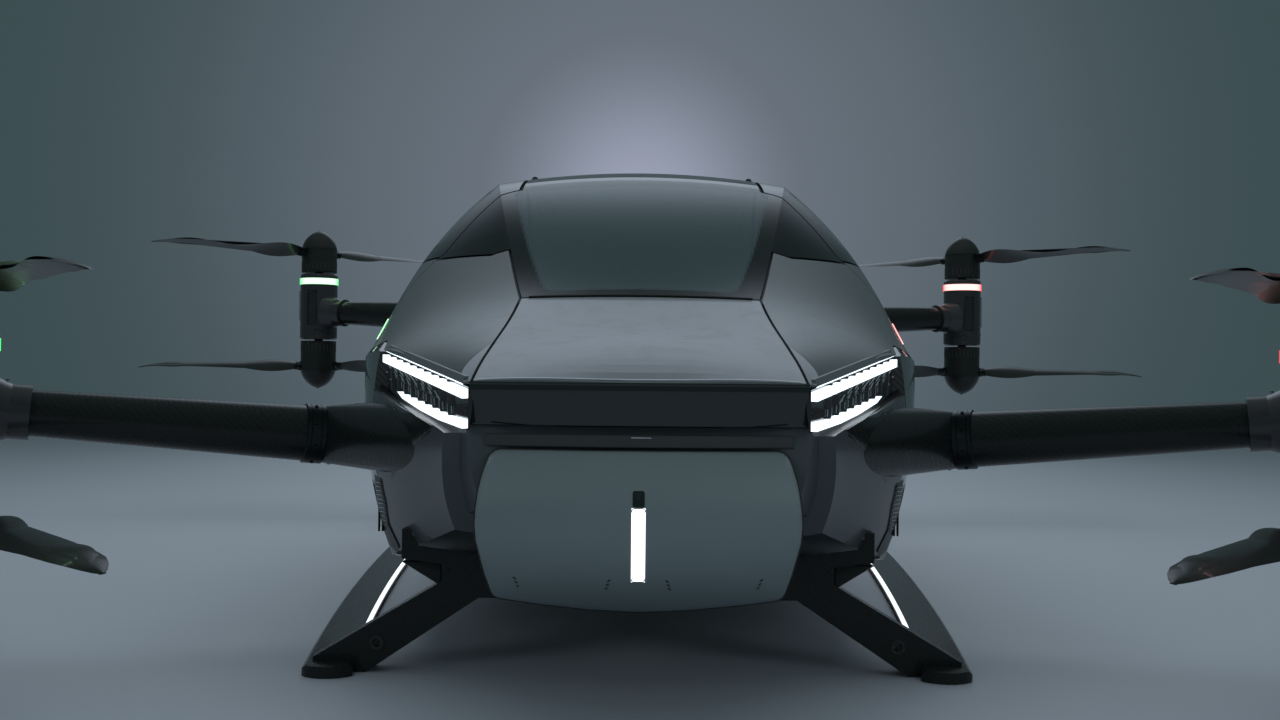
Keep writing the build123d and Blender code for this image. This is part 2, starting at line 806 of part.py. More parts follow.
ring_solids = []
for arm in arms:
    along = arm_direction(arm)
    with BuildPart() as pod_left:
        with BuildSketch(Plane.XY.offset(arm.hub[2] + pod_bottom)):
            with Locations(arm.hub[:2]):
                Circle(pod_radius)
        extrude(amount=pod_top - pod_bottom)
        chamfer(pod_left.edges().filter_by(GeomType.CIRCLE), 5)
        with BuildSketch(Plane(origin=arm.hub, z_dir=along * -1)):
            Circle(socket_radius)
        extrude(amount=socket_reach)
        inboard = Plane(origin=arm.hub, z_dir=along * -1)
        with BuildSketch(inboard.offset(flare_near)):
            Circle(flare_radius)
        with BuildSketch(inboard.offset(flare_far)):
            Circle(socket_radius)
        loft(ruled=True)
        cooler_back = arm.hub[1] - pod_radius + cooler_depth
        add(span_block(
            (arm.hub[0] + cooler_x[0], arm.hub[0] + cooler_x[1]),
            (cooler_back - 2 * pod_radius, cooler_back),
            (arm.hub[2] + cooler_z[0], arm.hub[2] + cooler_z[1]),
        ), mode=Mode.SUBTRACT)
        fin_spacing = (cooler_z[1] - cooler_z[0]) / cooler_fins
        for index in range(cooler_fins):
            fin_z = arm.hub[2] + cooler_z[0] + (index + 0.3) * fin_spacing
            add(span_block(
                (arm.hub[0] + cooler_x[0], arm.hub[0] + cooler_x[1]),
                (cooler_back - cooler_fin_height, cooler_back + 1),
                (fin_z, fin_z + 0.4 * fin_spacing),
            ))
        for end, sense in ((pod_top, -1), (pod_bottom, 1)):
            with BuildSketch(Plane.XY.offset(arm.hub[2] + end)):
                with Locations(arm.hub[:2]):
                    Circle(bore_radius)
            extrude(amount=sense * (shaft_depth - rotor_gap), mode=Mode.SUBTRACT)
    finish(pod_left, f"motor_pod_{arm.end}_left")
    with BuildPart() as pod_right:
        mirror(pod_left.part, about=Plane.YZ)
    finish(pod_right, f"motor_pod_{arm.end}_right")
    ring_solids.append(pod_rings(arm, ring_proud))

# Side marker strips on the fenders share a node with the lit rings
marker_line = [(-1020, 790), (-945, 840), (-945, 831), (-1020, 781)]
with BuildPart() as side_marker:
    add(body_form(-3.0))
    add(fairing_skin, mode=Mode.SUBTRACT)
    add(side_block(marker_line), mode=Mode.INTERSECT)
    add(left_half, mode=Mode.INTERSECT)

with BuildPart() as beacons_port:
    for ring in ring_solids:
        add(ring)
    add(side_marker.part)
finish(beacons_port, "beacons_port")

with BuildPart() as beacons_starboard:
    mirror(beacons_port.part, about=Plane.YZ)
finish(beacons_starboard, "beacons_starboard")

# Rotors: shaft, motor can, spinner and two blades turning together
can_radius = 82.0
tip_radius = 6.0       # flat at the spinner's tip
Section = namedtuple("Section", "r chord pitch thick rise")
blade_sections = [
    Section(50, 42, 30, 21, 0),
    Section(120, 70, 31, 15, 0),
    Section(200, 118, 28, 13, 1),
    Section(330, 102, 19, 10, 2),
    Section(580, 66, 11, 7, 2),
    Section(790, 40, 8, 4, -4),
    Section(prop_radius, 14, 8, 3, -16),
]

Rotor = namedtuple("Rotor", "name z up angle hand")
rotor_rows = [
    (arms[0], Rotor("upper", prop_rise, 1, 48.5, 1)),
    (arms[0], Rotor("lower", prop_drop, -1, 46.0, -1)),
    (arms[1], Rotor("upper", prop_rise, 1, -48.5, -1)),
    (arms[1], Rotor("lower", prop_drop, -1, -2.0, 1)),
]


def blade(hand):
    """One blade along +X, its plane at z = 0."""
    with BuildPart() as solid:
        for row in blade_sections:
            turn = math.radians(row.pitch * hand)
            corners = []
            for u, v in ((-0.5, 0), (0, 0.5), (0.5, 0), (0, -0.5)):
                across_chord = u * row.chord
                through = v * row.thick + (0.06 * row.chord if u == 0 else 0)
                corners.append((
                    across_chord * math.cos(turn) - through * math.sin(turn),
                    across_chord * math.sin(turn) + through * math.cos(turn) + row.rise,
                ))
            with BuildSketch(Plane.YZ.offset(row.r)):
                with BuildLine():
                    ThreePointArc(corners[0], corners[1], corners[2])
                    ThreePointArc(corners[2], corners[3], corners[0])
                make_face()
        loft()
    return solid.part


blades = {1: blade(1), -1: blade(-1)}

for arm, rotor in rotor_rows:
    end = pod_top if rotor.up > 0 else pod_bottom
    near = end + rotor.up * rotor_gap
    deep = near - rotor.up * shaft_depth + rotor.up * clearance
    shoulder = rotor.z + rotor.up * 18
    tip = rotor.z + rotor.up * spinner_length
    with BuildPart() as rotor_left:
        with BuildSketch(Plane.XZ.offset(-arm.hub[1])):
            with BuildLine():
                profile = [(tip_radius, tip), (0, tip), (0, deep), (shaft_radius, deep)]
                profile += [(shaft_radius, near), (can_radius, near), (can_radius, shoulder)]
                profile += [(can_radius * 0.72, shoulder + (tip - shoulder) * 0.60)]
                placed = [(arm.hub[0] + radius, arm.hub[2] + z) for radius, z in profile]
                Polyline(*placed[:7])
                ThreePointArc(placed[6], placed[7], placed[0])
            make_face()
        revolve(axis=Axis((arm.hub[0], arm.hub[1], 0), (0, 0, 1)))
        centre = (arm.hub[0], arm.hub[1], arm.hub[2] + rotor.z)
        for turn in (0, 180):
            with Locations(Location(centre, (0, 0, rotor.angle + turn))):
                add(blades[rotor.hand])
    finish(rotor_left, f"rotor_{arm.end}_left_{rotor.name}")
    with BuildPart() as rotor_right:
        mirror(rotor_left.part, about=Plane.YZ)
    finish(rotor_right, f"rotor_{arm.end}_right_{rotor.name}")

# Skids: curved flat runners with a leg at each end, reaching the hull's underside
runner_line = [(705.0, -1600.0), (858.0, -225.0), (935.0, 1150.0)]
runner_half = 57.5
runner_thickness = 26.0
runner_bevel = 9.0
runner_nose = 30.0     # rounding of the runner's ends
front_leg_y = -1520.0
rear_leg_y = 1000.0
leg_width = 80.0
lash_radius = 9.0
front_lash = (600.0, 68.0)
rear_lash = (800.0, 90.0)

with BuildPart() as skid_left:
    with BuildSketch(Plane.XY):
        inner_line = [(x - runner_half, y) for x, y in runner_line]
        outer_line = [(x + runner_half, y) for x, y in runner_line]
        with BuildLine():
            ThreePointArc(*inner_line)
            ThreePointArc(inner_line[2], (runner_line[2][0], runner_line[2][1] + runner_nose), outer_line[2])
            ThreePointArc(*outer_line)
            ThreePointArc(outer_line[0], (runner_line[0][0], runner_line[0][1] - runner_nose), inner_line[0])
        make_face()
    extrude(amount=runner_thickness)
    top_edges = skid_left.faces().sort_by(Axis.Z)[-1].edges()
    chamfer(top_edges.sort_by(SortBy.LENGTH)[-2:], runner_bevel)
    with BuildSketch(Plane.XZ.offset(-front_leg_y)):
        with BuildLine():
            Polyline(
                (326, 173),
                (326, 330),
                (545, 330),
                (545, 262),
                (453, 250),
                (453, 210),
                (748, 34),
                (748, 0),
                (626, 0),
                (367, 173),
                close=True,
            )
        make_face()
    extrude(amount=leg_width / 2, both=True)
    with BuildSketch(Plane.XZ.offset(-rear_leg_y)):
        with BuildLine():
            Polyline(
                (400, 250),
                (400, 420),
                (500, 420),
                (500, 385),
                (968, 34),
                (968, 0),
                (840, 0),
                close=True,
            )
        make_face()
    extrude(amount=leg_width / 2, both=True)
    add(fairing_skin, mode=Mode.SUBTRACT)
    add(side_block([
        (chin_front_y, chin_top_z),
        (chin_front_y, 238 - clearance),
        (cheek_rear_y, 226 - clearance),
        (cheek_rear_y, chin_top_z),
    ], chin_half + clearance), mode=Mode.SUBTRACT)
    with Locations(
        Location((front_lash[0], front_leg_y, front_lash[1]), (90, 0, 0)),
        Location((rear_lash[0], rear_leg_y, rear_lash[1]), (90, 0, 0)),
    ):
        Cylinder(lash_radius, 2 * leg_width, mode=Mode.SUBTRACT)
finish(skid_left, "skid_left")

with BuildPart() as skid_right:
    mirror(skid_left.part, about=Plane.YZ)
finish(skid_right, "skid_right")

# Cabin
seat_x = 300.0
seat_half = 225.0
console_half = 50.0

with BuildPart() as dashboard:
    add(side_block([
        (-1328, 690),
        (-1328, 930),
        (-1180, 890),
        (-1030, 850),
        (-1000, 800),
        (-1080, 740),
        (-1120, 690),
    ], 640.0))
    add(core_face, mode=Mode.INTERSECT)
finish(dashboard, "dashboard")

with BuildPart() as display:
    with BuildSketch(Plane.YZ):
        with BuildLine():
            Polyline((-1026, 852), (-1001, 801), (-985, 806), (-1012, 880), (-1024, 878), close=True)
        make_face()
    extrude(amount=250, both=True)
    add(dashboard.part, mode=Mode.SUBTRACT)
finish(display, "display")

for side, sense in (("left", 1), ("right", -1)):
    with BuildPart() as seat:
        with BuildSketch(Plane.YZ.offset(sense * seat_x - seat_half)):
            with BuildLine():
                Polyline(
                    (-420, floor_top + clearance),
                    (-430, 500),
                    (-60, 455),
                    (60, 480),
                    (240, 1010),
                    (215, 1170),
                    (300, 1190),
                    (380, 1040),
                    (240, 430),
                    (230, floor_top + clearance),
                    close=True,
                )
            make_face()
        extrude(amount=2 * seat_half)
    finish(seat, f"seat_{side}")

with BuildPart() as console:
    add(side_block([
        (-560, floor_top + clearance),
        (-560, 470),
        (-500, 500),
        (100, 520),
        (100, floor_top + clearance),
    ], console_half))
    with Locations((0, -440, 550)):
        Cylinder(11, 120)
    with Locations((0, -440, 620)):
        Sphere(24)
finish(console, "console")
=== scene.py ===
"""Looks of a two-seat multirotor flying car on skids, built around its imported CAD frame.

Sizes are in metres in the frame's own axes: +X is the vehicle's left (port) side, the nose
points to -Y, +Z is up, and the origin lies on the ground midway between the four hub axes.
"""
from __future__ import annotations

import logging
import math
from dataclasses import dataclass
from enum import Enum
from typing import Any, Iterable, Iterator, Sequence

import bmesh
import bpy
from mathutils import Matrix, Vector
from mathutils.bvhtree import BVHTree


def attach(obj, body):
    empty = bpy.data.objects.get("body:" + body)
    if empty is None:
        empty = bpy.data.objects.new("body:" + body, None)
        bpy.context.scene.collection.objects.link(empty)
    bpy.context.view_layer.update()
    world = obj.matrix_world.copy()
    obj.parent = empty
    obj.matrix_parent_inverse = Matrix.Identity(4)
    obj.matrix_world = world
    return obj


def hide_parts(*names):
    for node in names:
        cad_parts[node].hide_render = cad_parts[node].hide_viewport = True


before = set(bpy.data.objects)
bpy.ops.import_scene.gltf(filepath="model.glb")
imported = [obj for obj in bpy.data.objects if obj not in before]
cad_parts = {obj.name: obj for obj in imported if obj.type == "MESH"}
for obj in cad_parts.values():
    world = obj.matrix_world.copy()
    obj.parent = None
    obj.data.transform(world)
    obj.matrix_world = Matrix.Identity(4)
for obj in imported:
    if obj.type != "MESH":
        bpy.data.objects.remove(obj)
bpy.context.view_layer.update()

log = logging.getLogger("flying_car")

Point = Sequence[float]
Colour = tuple[float, float, float]

AIRFRAME = "airframe"

# The photograph's camera, by which outlines seen from the front are laid on the body.
EYE: Point = (0.0, -4.54, 0.69)
FOCAL_PX = 1290.0
MIDDLE_PX = 640.0
HORIZON_PX = 375.0
ROLL_SLOPE = 0.0104

# How far the front edge of hood and band falls back, in metres for each square metre of width.
FRONT_BOW = 0.233

# Tilt of a blade's root in its clamp.
ROOT_PITCH_DEG = 30


class Side(Enum):
    """Side of the vehicle, with its direction along X."""

    LEFT = 1
    RIGHT = -1

    @property
    def word(self) -> str:
        """Name of the side as the frame's nodes and bodies spell it."""
        return self.name.lower()


# Shader kit


class Channel:
    """One number of a shader, whose arithmetic adds Math nodes."""

    def __init__(self, sheet: "ShaderSheet", socket: bpy.types.NodeSocket) -> None:
        """Wrap an output socket of the sheet's tree."""
        self.sheet = sheet
        self.socket = socket

    def _with(self, operation: str, *values: Any) -> "Channel":
        """Return the result of one Math node on these values."""
        return self.sheet.math(operation, *values)

    def __add__(self, other: Any) -> "Channel":
        """Return self + other."""
        return self._with("ADD", self, other)

    __radd__ = __add__

    def __sub__(self, other: Any) -> "Channel":
        """Return self - other."""
        return self._with("SUBTRACT", self, other)

    def __rsub__(self, other: Any) -> "Channel":
        """Return other - self."""
        return self._with("SUBTRACT", other, self)

    def __mul__(self, other: Any) -> "Channel":
        """Return self * other."""
        return self._with("MULTIPLY", self, other)

    __rmul__ = __mul__

    def __truediv__(self, other: Any) -> "Channel":
        """Return self / other."""
        return self._with("DIVIDE", self, other)

    def __mod__(self, other: Any) -> "Channel":
        """Return self modulo other, never negative."""
        return self._with("FLOORED_MODULO", self, other)

    def __lt__(self, other: Any) -> "Channel":
        """Return 1 where self < other."""
        return self._with("LESS_THAN", self, other)

    def __gt__(self, other: Any) -> "Channel":
        """Return 1 where self > other."""
        return self._with("GREATER_THAN", self, other)

    def floor(self) -> "Channel":
        """Return the whole part."""
        return self._with("FLOOR", self)

    def size(self) -> "Channel":
        """Return the absolute value."""
        return self._with("ABSOLUTE", self)

    def least(self, other: Any, softness: float = 0.0) -> "Channel":
        """Return the smaller of two values.

        Args:
            other: The value to compare with.
            softness: Width of the rounding between the two.

        Returns:
            The smaller value.
        """
        if softness:
            return self._with("SMOOTH_MIN", self, other, softness)
        return self._with("MINIMUM", self, other)

    def between(self, low: float, high: float) -> "Channel":
        """Return a smooth step from 0 at low to 1 at high."""
        node = self.sheet.node(
            "ShaderNodeMapRange",
            {"interpolation_type": "SMOOTHSTEP"},
            {"Value": self, "From Min": low, "From Max": high},
        )
        return Channel(self.sheet, node.outputs["Result"])


class ShaderSheet:
    """Node tree of one material or world, written as expressions."""

    def __init__(self, name: str, owner: bpy.types.World | None = None) -> None:
        """Start an empty material of that name, or clear the owner's tree."""
        self.material = owner or bpy.data.materials.new(name)
        self.material.use_nodes = True
        self.tree = self.material.node_tree
        self.tree.nodes.clear()

    def node(self, kind: str, settings: dict[str, Any] | None = None,
             sockets: dict[Any, Any] | None = None) -> bpy.types.Node:
        """Add a node.

        Args:
            kind: The node's type.
            settings: Its properties, set first.
            sockets: Values or links of its inputs, by name or number.

        Returns:
            The node.
        """
        node = self.tree.nodes.new(kind)
        for key, value in (settings or {}).items():
            setattr(node, key, value)
        for key, value in (sockets or {}).items():
            self.plug(node.inputs[key], value)
        return node

    def plug(self, socket: bpy.types.NodeSocket, value: Any) -> None:
        """Link a channel or socket into an input, or set its value."""
        if isinstance(value, Channel):
            self.tree.links.new(value.socket, socket)
        elif isinstance(value, bpy.types.NodeSocket):
            self.tree.links.new(value, socket)
        elif isinstance(value, tuple) and socket.type == "RGBA":
            socket.default_value = (*value[:3], 1.0)
        else:
            socket.default_value = value

    def math(self, operation: str, *values: Any) -> Channel:
        """Return the result of a Math node on the values."""
        node = self.node("ShaderNodeMath", {"operation": operation}, dict(enumerate(values)))
        return Channel(self, node.outputs[0])

    def place(self, turn: Point = (0, 0, 0), stretch: Point = (1, 1, 1)) -> bpy.types.NodeSocket:
        """Return the object's coordinates, turned and stretched."""
        coordinates = self.node("ShaderNodeTexCoord").outputs["Object"]
        if tuple(turn) == (0, 0, 0) and tuple(stretch) == (1, 1, 1):
            return coordinates
        mapping = self.node(
            "ShaderNodeMapping", {}, {"Vector": coordinates, "Rotation": turn, "Scale": stretch}
        )
        return mapping.outputs["Vector"]

    def axes(self, vector: bpy.types.NodeSocket) -> tuple[Channel, Channel, Channel]:
        """Return a vector's three numbers."""
        split = self.node("ShaderNodeSeparateXYZ", {}, {"Vector": vector})
        return tuple(Channel(self, split.outputs[i]) for i in range(3))

    def facing(self) -> tuple[Channel, Channel, Channel]:
        """Return the surface's direction in the object's axes."""
        return self.axes(self.node("ShaderNodeTexCoord").outputs["Normal"])

    def noise(self, scale: float, detail: float = 2.0, roughness: float = 0.5,
              vector: bpy.types.NodeSocket | None = None) -> Channel:
        """Return a noise from 0 to 1.

        Args:
            scale: Waves for each metre.
            detail: Octaves.
            roughness: Weight of the finer octaves.
            vector: Coordinates, the object's own when not given.

        Returns:
            The noise.
        """
        node = self.node(
            "ShaderNodeTexNoise",
            {},
            {"Vector": vector or self.place(), "Scale": scale, "Detail": detail,
             "Roughness": roughness},
        )
        return Channel(self, node.outputs[0])

    def cells(self, scale: float, feature: str = "F1",
              vector: bpy.types.NodeSocket | None = None) -> Channel:
        """Return the distance in a cell pattern of that scale."""
        node = self.node(
            "ShaderNodeTexVoronoi", {"feature": feature},
            {"Vector": vector or self.place(), "Scale": scale}
        )
        return Channel(self, node.outputs["Distance"])

    def mix(self, factor: Any, first: Any, second: Any) -> bpy.types.NodeSocket:
        """Return a colour between two, by the factor."""
        node = self.node("ShaderNodeMix", {"data_type": "RGBA"}, {0: factor, 6: first, 7: second})
        return node.outputs[2]

    def bump(self, height: Channel, distance: float) -> bpy.types.NodeSocket:
        """Return a bumped normal.

        Args:
            height: Height from 0 to 1.
            distance: Real height of 1, in metres.

        Returns:
            The normal.
        """
        sockets = {"Height": height, "Distance": distance, "Strength": 1.0}
        return self.node("ShaderNodeBump", {}, sockets).outputs["Normal"]

    def surface(self, **sockets: Any) -> bpy.types.Material:
        """Close the tree with a Principled shader and return its material."""
        named = {key.replace("_", " "): value for key, value in sockets.items()}
        shader = self.node("ShaderNodeBsdfPrincipled", {}, named)
        output = self.node("ShaderNodeOutputMaterial")
        self.tree.links.new(shader.outputs[0], output.inputs["Surface"])
        return self.material


# Finishes


@dataclass(frozen=True)
class Finish:
    """A surface finish: the name of its material and the record's slot it belongs to."""

    name: str
    slot: str

    def material(self) -> bpy.types.Material:
        """Return the finish's material, built on first use."""
        return bpy.data.materials.get(self.name) or self.build(ShaderSheet(self.name))

    def build(self, sheet: ShaderSheet) -> bpy.types.Material:
        """Build the material on an empty sheet and return it."""
        raise NotImplementedError


@dataclass(frozen=True)
class LacqueredPaint(Finish):
    """Metallic paint under clear lacquer, with fine flake and a breath of dust on top faces."""

    colour: Colour = (0.05, 0.055, 0.062)
    flake: float = 0.25
    metallic: float = 0.55
    roughness: float = 0.34
    coat: float = 0.35
    specular: float = 0.5

    def build(self, sheet: ShaderSheet) -> bpy.types.Material:
        """Build the paint and return its material."""
        sparkle = sheet.cells(2600.0)
        cloud = sheet.noise(1.6, 3.0)
        peel = sheet.noise(95.0, 2.0)
        _, _, upward = sheet.facing()
        dust = upward.between(0.55, 1.0) * sheet.noise(14.0, 5.0, 0.65).between(0.45, 0.8)
        darker = tuple(part * (1 - self.flake) for part in self.colour)
        lighter = tuple(part * (1 + self.flake) for part in self.colour)
        flaked = sheet.mix(sparkle * 0.6 + cloud * 0.4, darker, lighter)
        coloured = sheet.mix(dust * 0.05, flaked, (0.32, 0.31, 0.29))
        return sheet.surface(
            Base_Color=coloured,
            Metallic=self.metallic,
            Roughness=cloud * 0.08 + dust * 0.12 + (self.roughness - 0.04),
            Specular_IOR_Level=self.specular,
            Coat_Weight=self.coat,
            Coat_Roughness=0.14,
            Normal=sheet.bump(peel, 0.00006),
        )


@dataclass(frozen=True)
class GlossPolymer(Finish):
    """Polished plastic with faint wipe marks in its gloss."""

    colour: Colour = (0.008, 0.008, 0.009)
    roughness: float = 0.07

    def build(self, sheet: ShaderSheet) -> bpy.types.Material:
        """Build the gloss and return its material."""
        smear = sheet.noise(9.0, 4.0, 0.6, sheet.place((0, 0, 0.5), (1, 5, 1)))
        tone = sheet.noise(3.0, 2.0)
        lighter = tuple(part * 1.5 + 0.002 for part in self.colour)
        return sheet.surface(
            Base_Color=sheet.mix(tone, self.colour, lighter),
            Roughness=smear * 0.08 + (self.roughness - 0.03),
            Coat_Weight=0.6,
            Coat_Roughness=0.03,
            Normal=sheet.bump(sheet.noise(60.0, 2.0), 0.00004),
        )


@dataclass(frozen=True)
class TwillCarbon(Finish):
    """Lacquered two-by-two twill weave with its sheen painted in, laid flat on whichever plane a
    face lies nearest to.
    """

    tow: float = 0.0042
    turn: Point = (0, 0, 0)
    dark: Colour = (0.009, 0.0095, 0.011)
    light: Colour = (0.04, 0.042, 0.047)
    coat: float = 1.0
    roughness: float = 0.36

    @staticmethod
    def _weave(across: Channel, along: Channel) -> tuple[Channel, Channel]:
        """Weave two coordinates.

        Args:
            across: First coordinate, counted in tows.
            along: Second coordinate, counted in tows.

        Returns:
            Which tow lies on top (0 or 1), and the height of its crown.
        """
        over = ((across.floor() + along.floor()) % 4.0) < 1.5
        crown_across = 1.0 - ((across % 1.0) * 2.0 - 1.0) * ((across % 1.0) * 2.0 - 1.0)
        crown_along = 1.0 - ((along % 1.0) * 2.0 - 1.0) * ((along % 1.0) * 2.0 - 1.0)
        return over, over * crown_across + (1.0 - over) * crown_along

    def build(self, sheet: ShaderSheet) -> bpy.types.Material:
        """Build the weave and return its material."""
        x, y, z = (axis / self.tow for axis in sheet.axes(sheet.place(self.turn)))
        turned = sheet.node(
            "ShaderNodeMapping",
            {"vector_type": "NORMAL"},
            {"Vector": sheet.node("ShaderNodeTexCoord").outputs["Normal"], "Rotation": self.turn},
        )
        nx, ny, nz = (axis.size() for axis in sheet.axes(turned.outputs["Vector"]))
        top = nz > nx._with("MAXIMUM", nx, ny)
        sideways = (nx > ny) * (1.0 - top)
        frontal = 1.0 - top - sideways
        over, crown = 0.0, 0.0
        for share, first, second in ((top, x, y), (sideways, y, z), (frontal, x, z)):
            lies_over, height = self._weave(first, second)
            over = share * lies_over + over
            crown = share * height + crown
        fibre = sheet.noise(900.0, 1.0)
        # Painted reflection: tows on top are painted lighter than those beneath, for the way the
        # fibres catch light along their run, and each tow is painted lighter on its crown, a
        # painted highlight.
        tone = over * 0.55 + crown * 0.3 + fibre * 0.15
        return sheet.surface(
            Base_Color=sheet.mix(tone, self.dark, self.light),
            Metallic=0.2,
            Roughness=over * 0.1 + (self.roughness - 0.05),
            Coat_Weight=self.coat,
            Coat_Roughness=0.05,
            Specular_IOR_Level=0.25,
            Normal=sheet.bump(crown, 0.00003),
        )


@dataclass(frozen=True)
class Moulded(Finish):
    """Moulded plastic or rubber with a fine pebbled grain."""

    colour: Colour = (0.03, 0.031, 0.033)
    roughness: float = 0.55
    grain: float = 0.0009
    depth: float = 0.00012

    def build(self, sheet: ShaderSheet) -> bpy.types.Material:
        """Build the moulding and return its material."""
        pebble = sheet.cells(1.0 / self.grain)
        tone = sheet.noise(5.0, 4.0, 0.6)
        lighter = tuple(part * 1.35 + 0.003 for part in self.colour)
        return sheet.surface(
            Base_Color=sheet.mix(tone * 0.7 + pebble * 0.3, self.colour, lighter),
            Roughness=tone * 0.14 + (self.roughness - 0.07),
            Normal=sheet.bump(pebble, self.depth),
        )


@dataclass(frozen=True)
class TurnedMetal(Finish):
    """Machined metal with fine tool lines along one axis."""

    colour: Colour = (0.2, 0.205, 0.21)
    roughness: float = 0.3
    lines: Point = (1, 1, 40)

    def build(self, sheet: ShaderSheet) -> bpy.types.Material:
        """Build the metal and return its material."""
        brushed = sheet.noise(45.0, 3.0, 0.6, sheet.place((0, 0, 0), self.lines))
        stain = sheet.noise(7.0, 3.0)
        darker = tuple(part * 0.75 for part in self.colour)
        return sheet.surface(
            Base_Color=sheet.mix(stain * 0.6 + brushed * 0.4, darker, self.colour),
            Metallic=1.0,
            Roughness=brushed * 0.16 + (self.roughness - 0.06),
            Normal=sheet.bump(brushed, 0.00003),
        )


@dataclass(frozen=True)
class LitLens(Finish):
    """A lit lens: white-hot in its core, coloured where it thins towards its edges."""

    core: Colour = (0.95, 0.98, 1.0)
    edge: Colour = (0.8, 0.92, 1.0)
    strength: float = 3.0

    def build(self, sheet: ShaderSheet) -> bpy.types.Material:
        """Build the lens and return its material."""
        rim = Channel(sheet,
                      sheet.node("ShaderNodeLayerWeight", {}, {"Blend": 0.35}).outputs["Facing"])
        prism = sheet.noise(220.0, 1.0)
        glow = sheet.mix((rim + prism * 0.12).between(0.25, 0.85), self.core, self.edge)
        return sheet.surface(
            Base_Color=sheet.mix(prism, tuple(part * 0.8 for part in self.edge), self.edge),
            Roughness=prism * 0.1 + 0.12,
            Emission_Color=glow,
            Emission_Strength=self.strength,
        )


class Pane(Enum):
    """Which glazing a tinted glass is made for."""

    WINDSCREEN = "windscreen"
    DOOR = "door"


@dataclass(frozen=True)
class TintedGlass(Finish):
    """Dark tinted glass with a printed black border that ends in a row of shrinking dots."""

    pane: Pane = Pane.WINDSCREEN
    outline: tuple[tuple[float, float], ...] = ()
    tint: Colour = (0.03, 0.048, 0.053)
    clear_alpha: float = 0.64
    dot_pitch: float = 0.009

    def _inside(self, first: Channel, second: Channel) -> Channel:
        """Return how far a point lies inside the clear outline, in metres."""
        depth: Any = None
        points = self.outline
        for start, end in zip(points, points[1:]):
            run = Vector(end) - Vector(start)
            across = Vector((-run.y, run.x)).normalized()
            reach = first * across.x + second * across.y - across.dot(Vector(start))
            depth = reach if depth is None else depth.least(reach, 0.045)
        return depth

    def build(self, sheet: ShaderSheet) -> bpy.types.Material:
        """Build the glass and return its material."""
        x, y, z = sheet.axes(sheet.place())
        first, second = (x.size(), y) if self.pane is Pane.WINDSCREEN else (y, z)
        depth = self._inside(first, second)
        cell_u = ((first / self.dot_pitch) % 1.0 - 0.5).size()
        cell_v = ((second / self.dot_pitch) % 1.0 - 0.5).size()
        from_centre = sheet.math("SQRT", cell_u * cell_u + cell_v * cell_v)
        dots = from_centre < (0.5 - depth * 40.0)
        border = sheet.math("MAXIMUM", depth < 0.0, dots * (depth < 0.012))
        smear = sheet.noise(6.0, 4.0, 0.6)
        return sheet.surface(
            Base_Color=sheet.mix(border, self.tint, (0.004, 0.006, 0.006)),
            Roughness=smear * 0.03 + 0.02,
            IOR=1.28,
            Alpha=border * (1.0 - self.clear_alpha) + self.clear_alpha,
        )


@dataclass(frozen=True)
class GrainLeather(Finish):
    """Grained leather with fine creases."""

    colour: Colour = (0.05, 0.05, 0.053)
    roughness: float = 0.48

    def build(self, sheet: ShaderSheet) -> bpy.types.Material:
        """Build the leather and return its material."""
        pebble = sheet.cells(420.0, "DISTANCE_TO_EDGE")
        crease = sheet.noise(38.0, 5.0, 0.7)
        tone = sheet.noise(4.0, 3.0)
        darker = tuple(part * 0.6 for part in self.colour)
        grooves = pebble.between(0.0, 0.16)
        height = sheet.bump(grooves * 0.7 + crease * 0.3, 0.0003)
        return sheet.surface(
            Base_Color=sheet.mix(tone * 0.4 + grooves * 0.6, darker, self.colour),
            Roughness=crease * 0.16 + (self.roughness - 0.08),
            Normal=height,
        )


@dataclass(frozen=True)
class Webbing(Finish):
    """Woven strap with ribs across its run."""

    colour: Colour = (0.02, 0.021, 0.023)

    def build(self, sheet: ShaderSheet) -> bpy.types.Material:
        """Build the weave and return its material."""
        x, _, z = sheet.axes(sheet.place())
        ribs = sheet.math("SINE", z * 3600.0) * 0.5 + 0.5
        threads = sheet.math("SINE", x * 3600.0) * 0.5 + 0.5
        weave = ribs * 0.6 + threads * 0.4
        return sheet.surface(
            Base_Color=sheet.mix(weave, tuple(part * 0.6 for part in self.colour), self.colour),
            Roughness=weave * 0.1 + 0.72,
            Sheen_Weight=0.3,
            Normal=sheet.bump(weave, 0.0003),
        )


